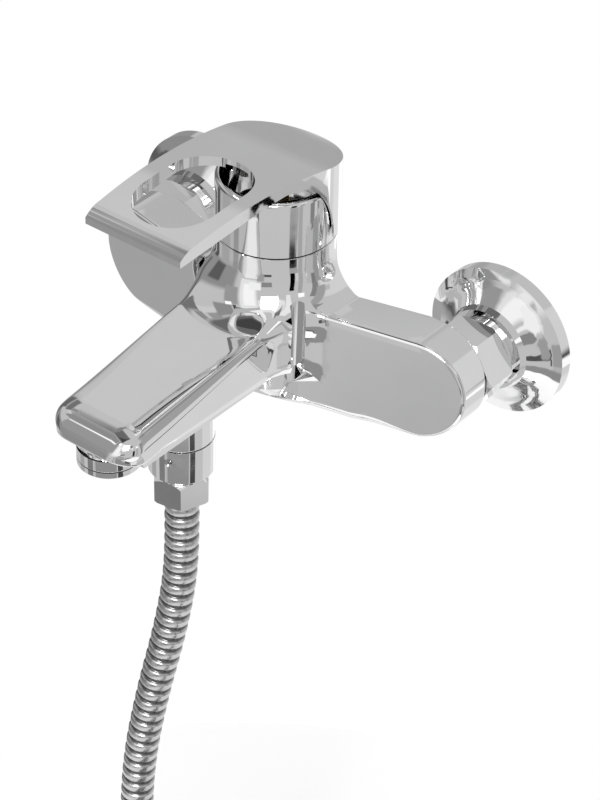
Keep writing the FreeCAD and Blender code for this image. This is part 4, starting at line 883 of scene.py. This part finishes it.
def studioLevel(direction, facts):
    # every panel covers what is there so far: level + (its own - level) * its mask
    east = direction.node("ShaderNodeSeparateXYZ", None, {"Vector": direction})
    north, rise = east.sibling("Y"), east.sibling("Z")
    bearing = direction.maths("ARCTAN2", 0 - east, north) * math.degrees(1)
    height = direction.maths("ARCSINE", rise) * math.degrees(1)
    level = facts["base"] ** facts["gamma"] / facts["tone"]
    for (left, right), (low, high), soft, shown in facts["panels"]:
        middle = (left + right) / 2
        sideways = direction.maths("WRAP", bearing, middle + 180, middle - 180) - middle
        upright = height - (low + high) / 2
        mask = within(sideways, (right - left) / 2, soft) * within(upright, (high - low) / 2, soft)
        own = shown ** facts["gamma"] / facts["tone"]
        level = level + mask * (own - level)
    return level


def makeWorld(facts):
    # white to the camera, the panels to what mirrors, and one plain level to all else
    world = bpy.data.worlds.new("studio")
    bpy.context.scene.world = world
    world.use_nodes = True
    world.node_tree.nodes.clear()
    start = Socket(world.node_tree)
    direction = start.node("ShaderNodeTexCoord", output=worldWay)
    path = start.node("ShaderNodeLightPath")
    camera = path.sibling("Is Camera Ray") + path.sibling("Is Transmission Ray")
    mirror = path.sibling("Is Glossy Ray")
    plain = (1 - mirror) * facts["plainLevel"] + mirror * studioLevel(direction, facts)
    strength = camera + (1 - camera) * plain
    back = start.node("ShaderNodeBackground", None, {"Color": (1, 1, 1, 1), "Strength": strength})
    start.node("ShaderNodeOutputWorld", None, {"Surface": back})


makeWorld(studio)

lampFacts = {"place": (0.62, -1.25, 0.9), "aim": (0, -0.05, -0.1), "size": 0.7, "power": 14}


def makeLamp(facts):
    data = bpy.data.lights.new("softLamp", "AREA")
    data.shape = "SQUARE"
    data.size = facts["size"]
    data.energy = facts["power"]
    away = Vector(facts["place"]) - Vector(facts["aim"])
    turned = away.to_track_quat("Z", "Y").to_matrix().to_4x4()
    newObject("softLamp", data).matrix_world = Matrix.Translation(facts["place"]) @ turned


makeLamp(lampFacts)

floorFacts = {
    "middle": (0.06, -0.14, -0.3938),
    "radius": 0.3,
    "corners": 96,
    "tone": 0.97,
    "dull": 0.995,
    "patchScale": 6,
    "roughness": 0.9,
}


def makeFloor(facts):
    # points on a circle, middle + radius * (cos a, sin a), joined by one face
    turn = np.linspace(0, 2 * math.pi, facts["corners"], endpoint=False)
    ring = np.stack([np.cos(turn), np.sin(turn), 0 * turn], 1) * facts["radius"]
    points = (ring + np.array(facts["middle"])).tolist()
    mesh = bpy.data.meshes.new("floor")
    mesh.from_pydata(points, [], [list(range(facts["corners"]))])
    floor = newObject("floor", mesh)
    material, start, place = newMaterial("paleFloor")
    patches = pattern(place, "gloss", facts["patchScale"])
    finishMaterial(
        start,
        {
            "Base Color": patches.blend(grey(facts["tone"] * facts["dull"]), grey(facts["tone"])),
            "Roughness": facts["roughness"],
            "Specular IOR Level": 0.0,
        },
    )
    mesh.materials.append(material)


makeFloor(floorFacts)

# the photo's camera: round and over the tower's axis, in degrees and metres
view = {
    "azimuth": 38.556,
    "elevation": 36.431,
    "roll": 1.046,
    "distance": 1.1208,
    "aimRight": 0.007244,
    "aimUp": -0.031005,
    "axisReach": 0.0495,
    "picture": 800,  # the longer side in pixels, in which the next three are
    "focus": 2863.4,
    "shiftX": 8.3,
    "shiftY": -2.3,
    "sensor": 36,
    "nearest": 0.05,
}


def makeCamera(facts):
    turn, rise, roll = (math.radians(facts[name]) for name in ("azimuth", "elevation", "roll"))
    right = Vector((math.cos(turn), math.sin(turn), 0))
    back = Vector(
        (math.sin(turn) * math.cos(rise), -math.cos(turn) * math.cos(rise), math.sin(rise))
    )
    up = back.cross(right)
    aim = right * facts["aimRight"] + up * facts["aimUp"] - Vector((0, facts["axisReach"], 0))
    rightRolled = right * math.cos(roll) + up * math.sin(roll)
    upRolled = up * math.cos(roll) - right * math.sin(roll)
    data = bpy.data.cameras.new("camera")
    data.lens = facts["focus"] * facts["sensor"] / facts["picture"]
    data.sensor_width = facts["sensor"]
    data.shift_x = facts["shiftX"] / facts["picture"]
    data.shift_y = facts["shiftY"] / facts["picture"]
    data.clip_start = facts["nearest"]
    camera = newObject("camera", data)
    turned = Matrix((rightRolled, upRolled, back)).transposed().to_4x4()
    camera.matrix_world = Matrix.Translation(aim + back * facts["distance"]) @ turned
    bpy.context.scene.camera = camera


makeCamera(view)
bpy.context.scene.view_settings.view_transform = "Standard"
print("studio and camera done")
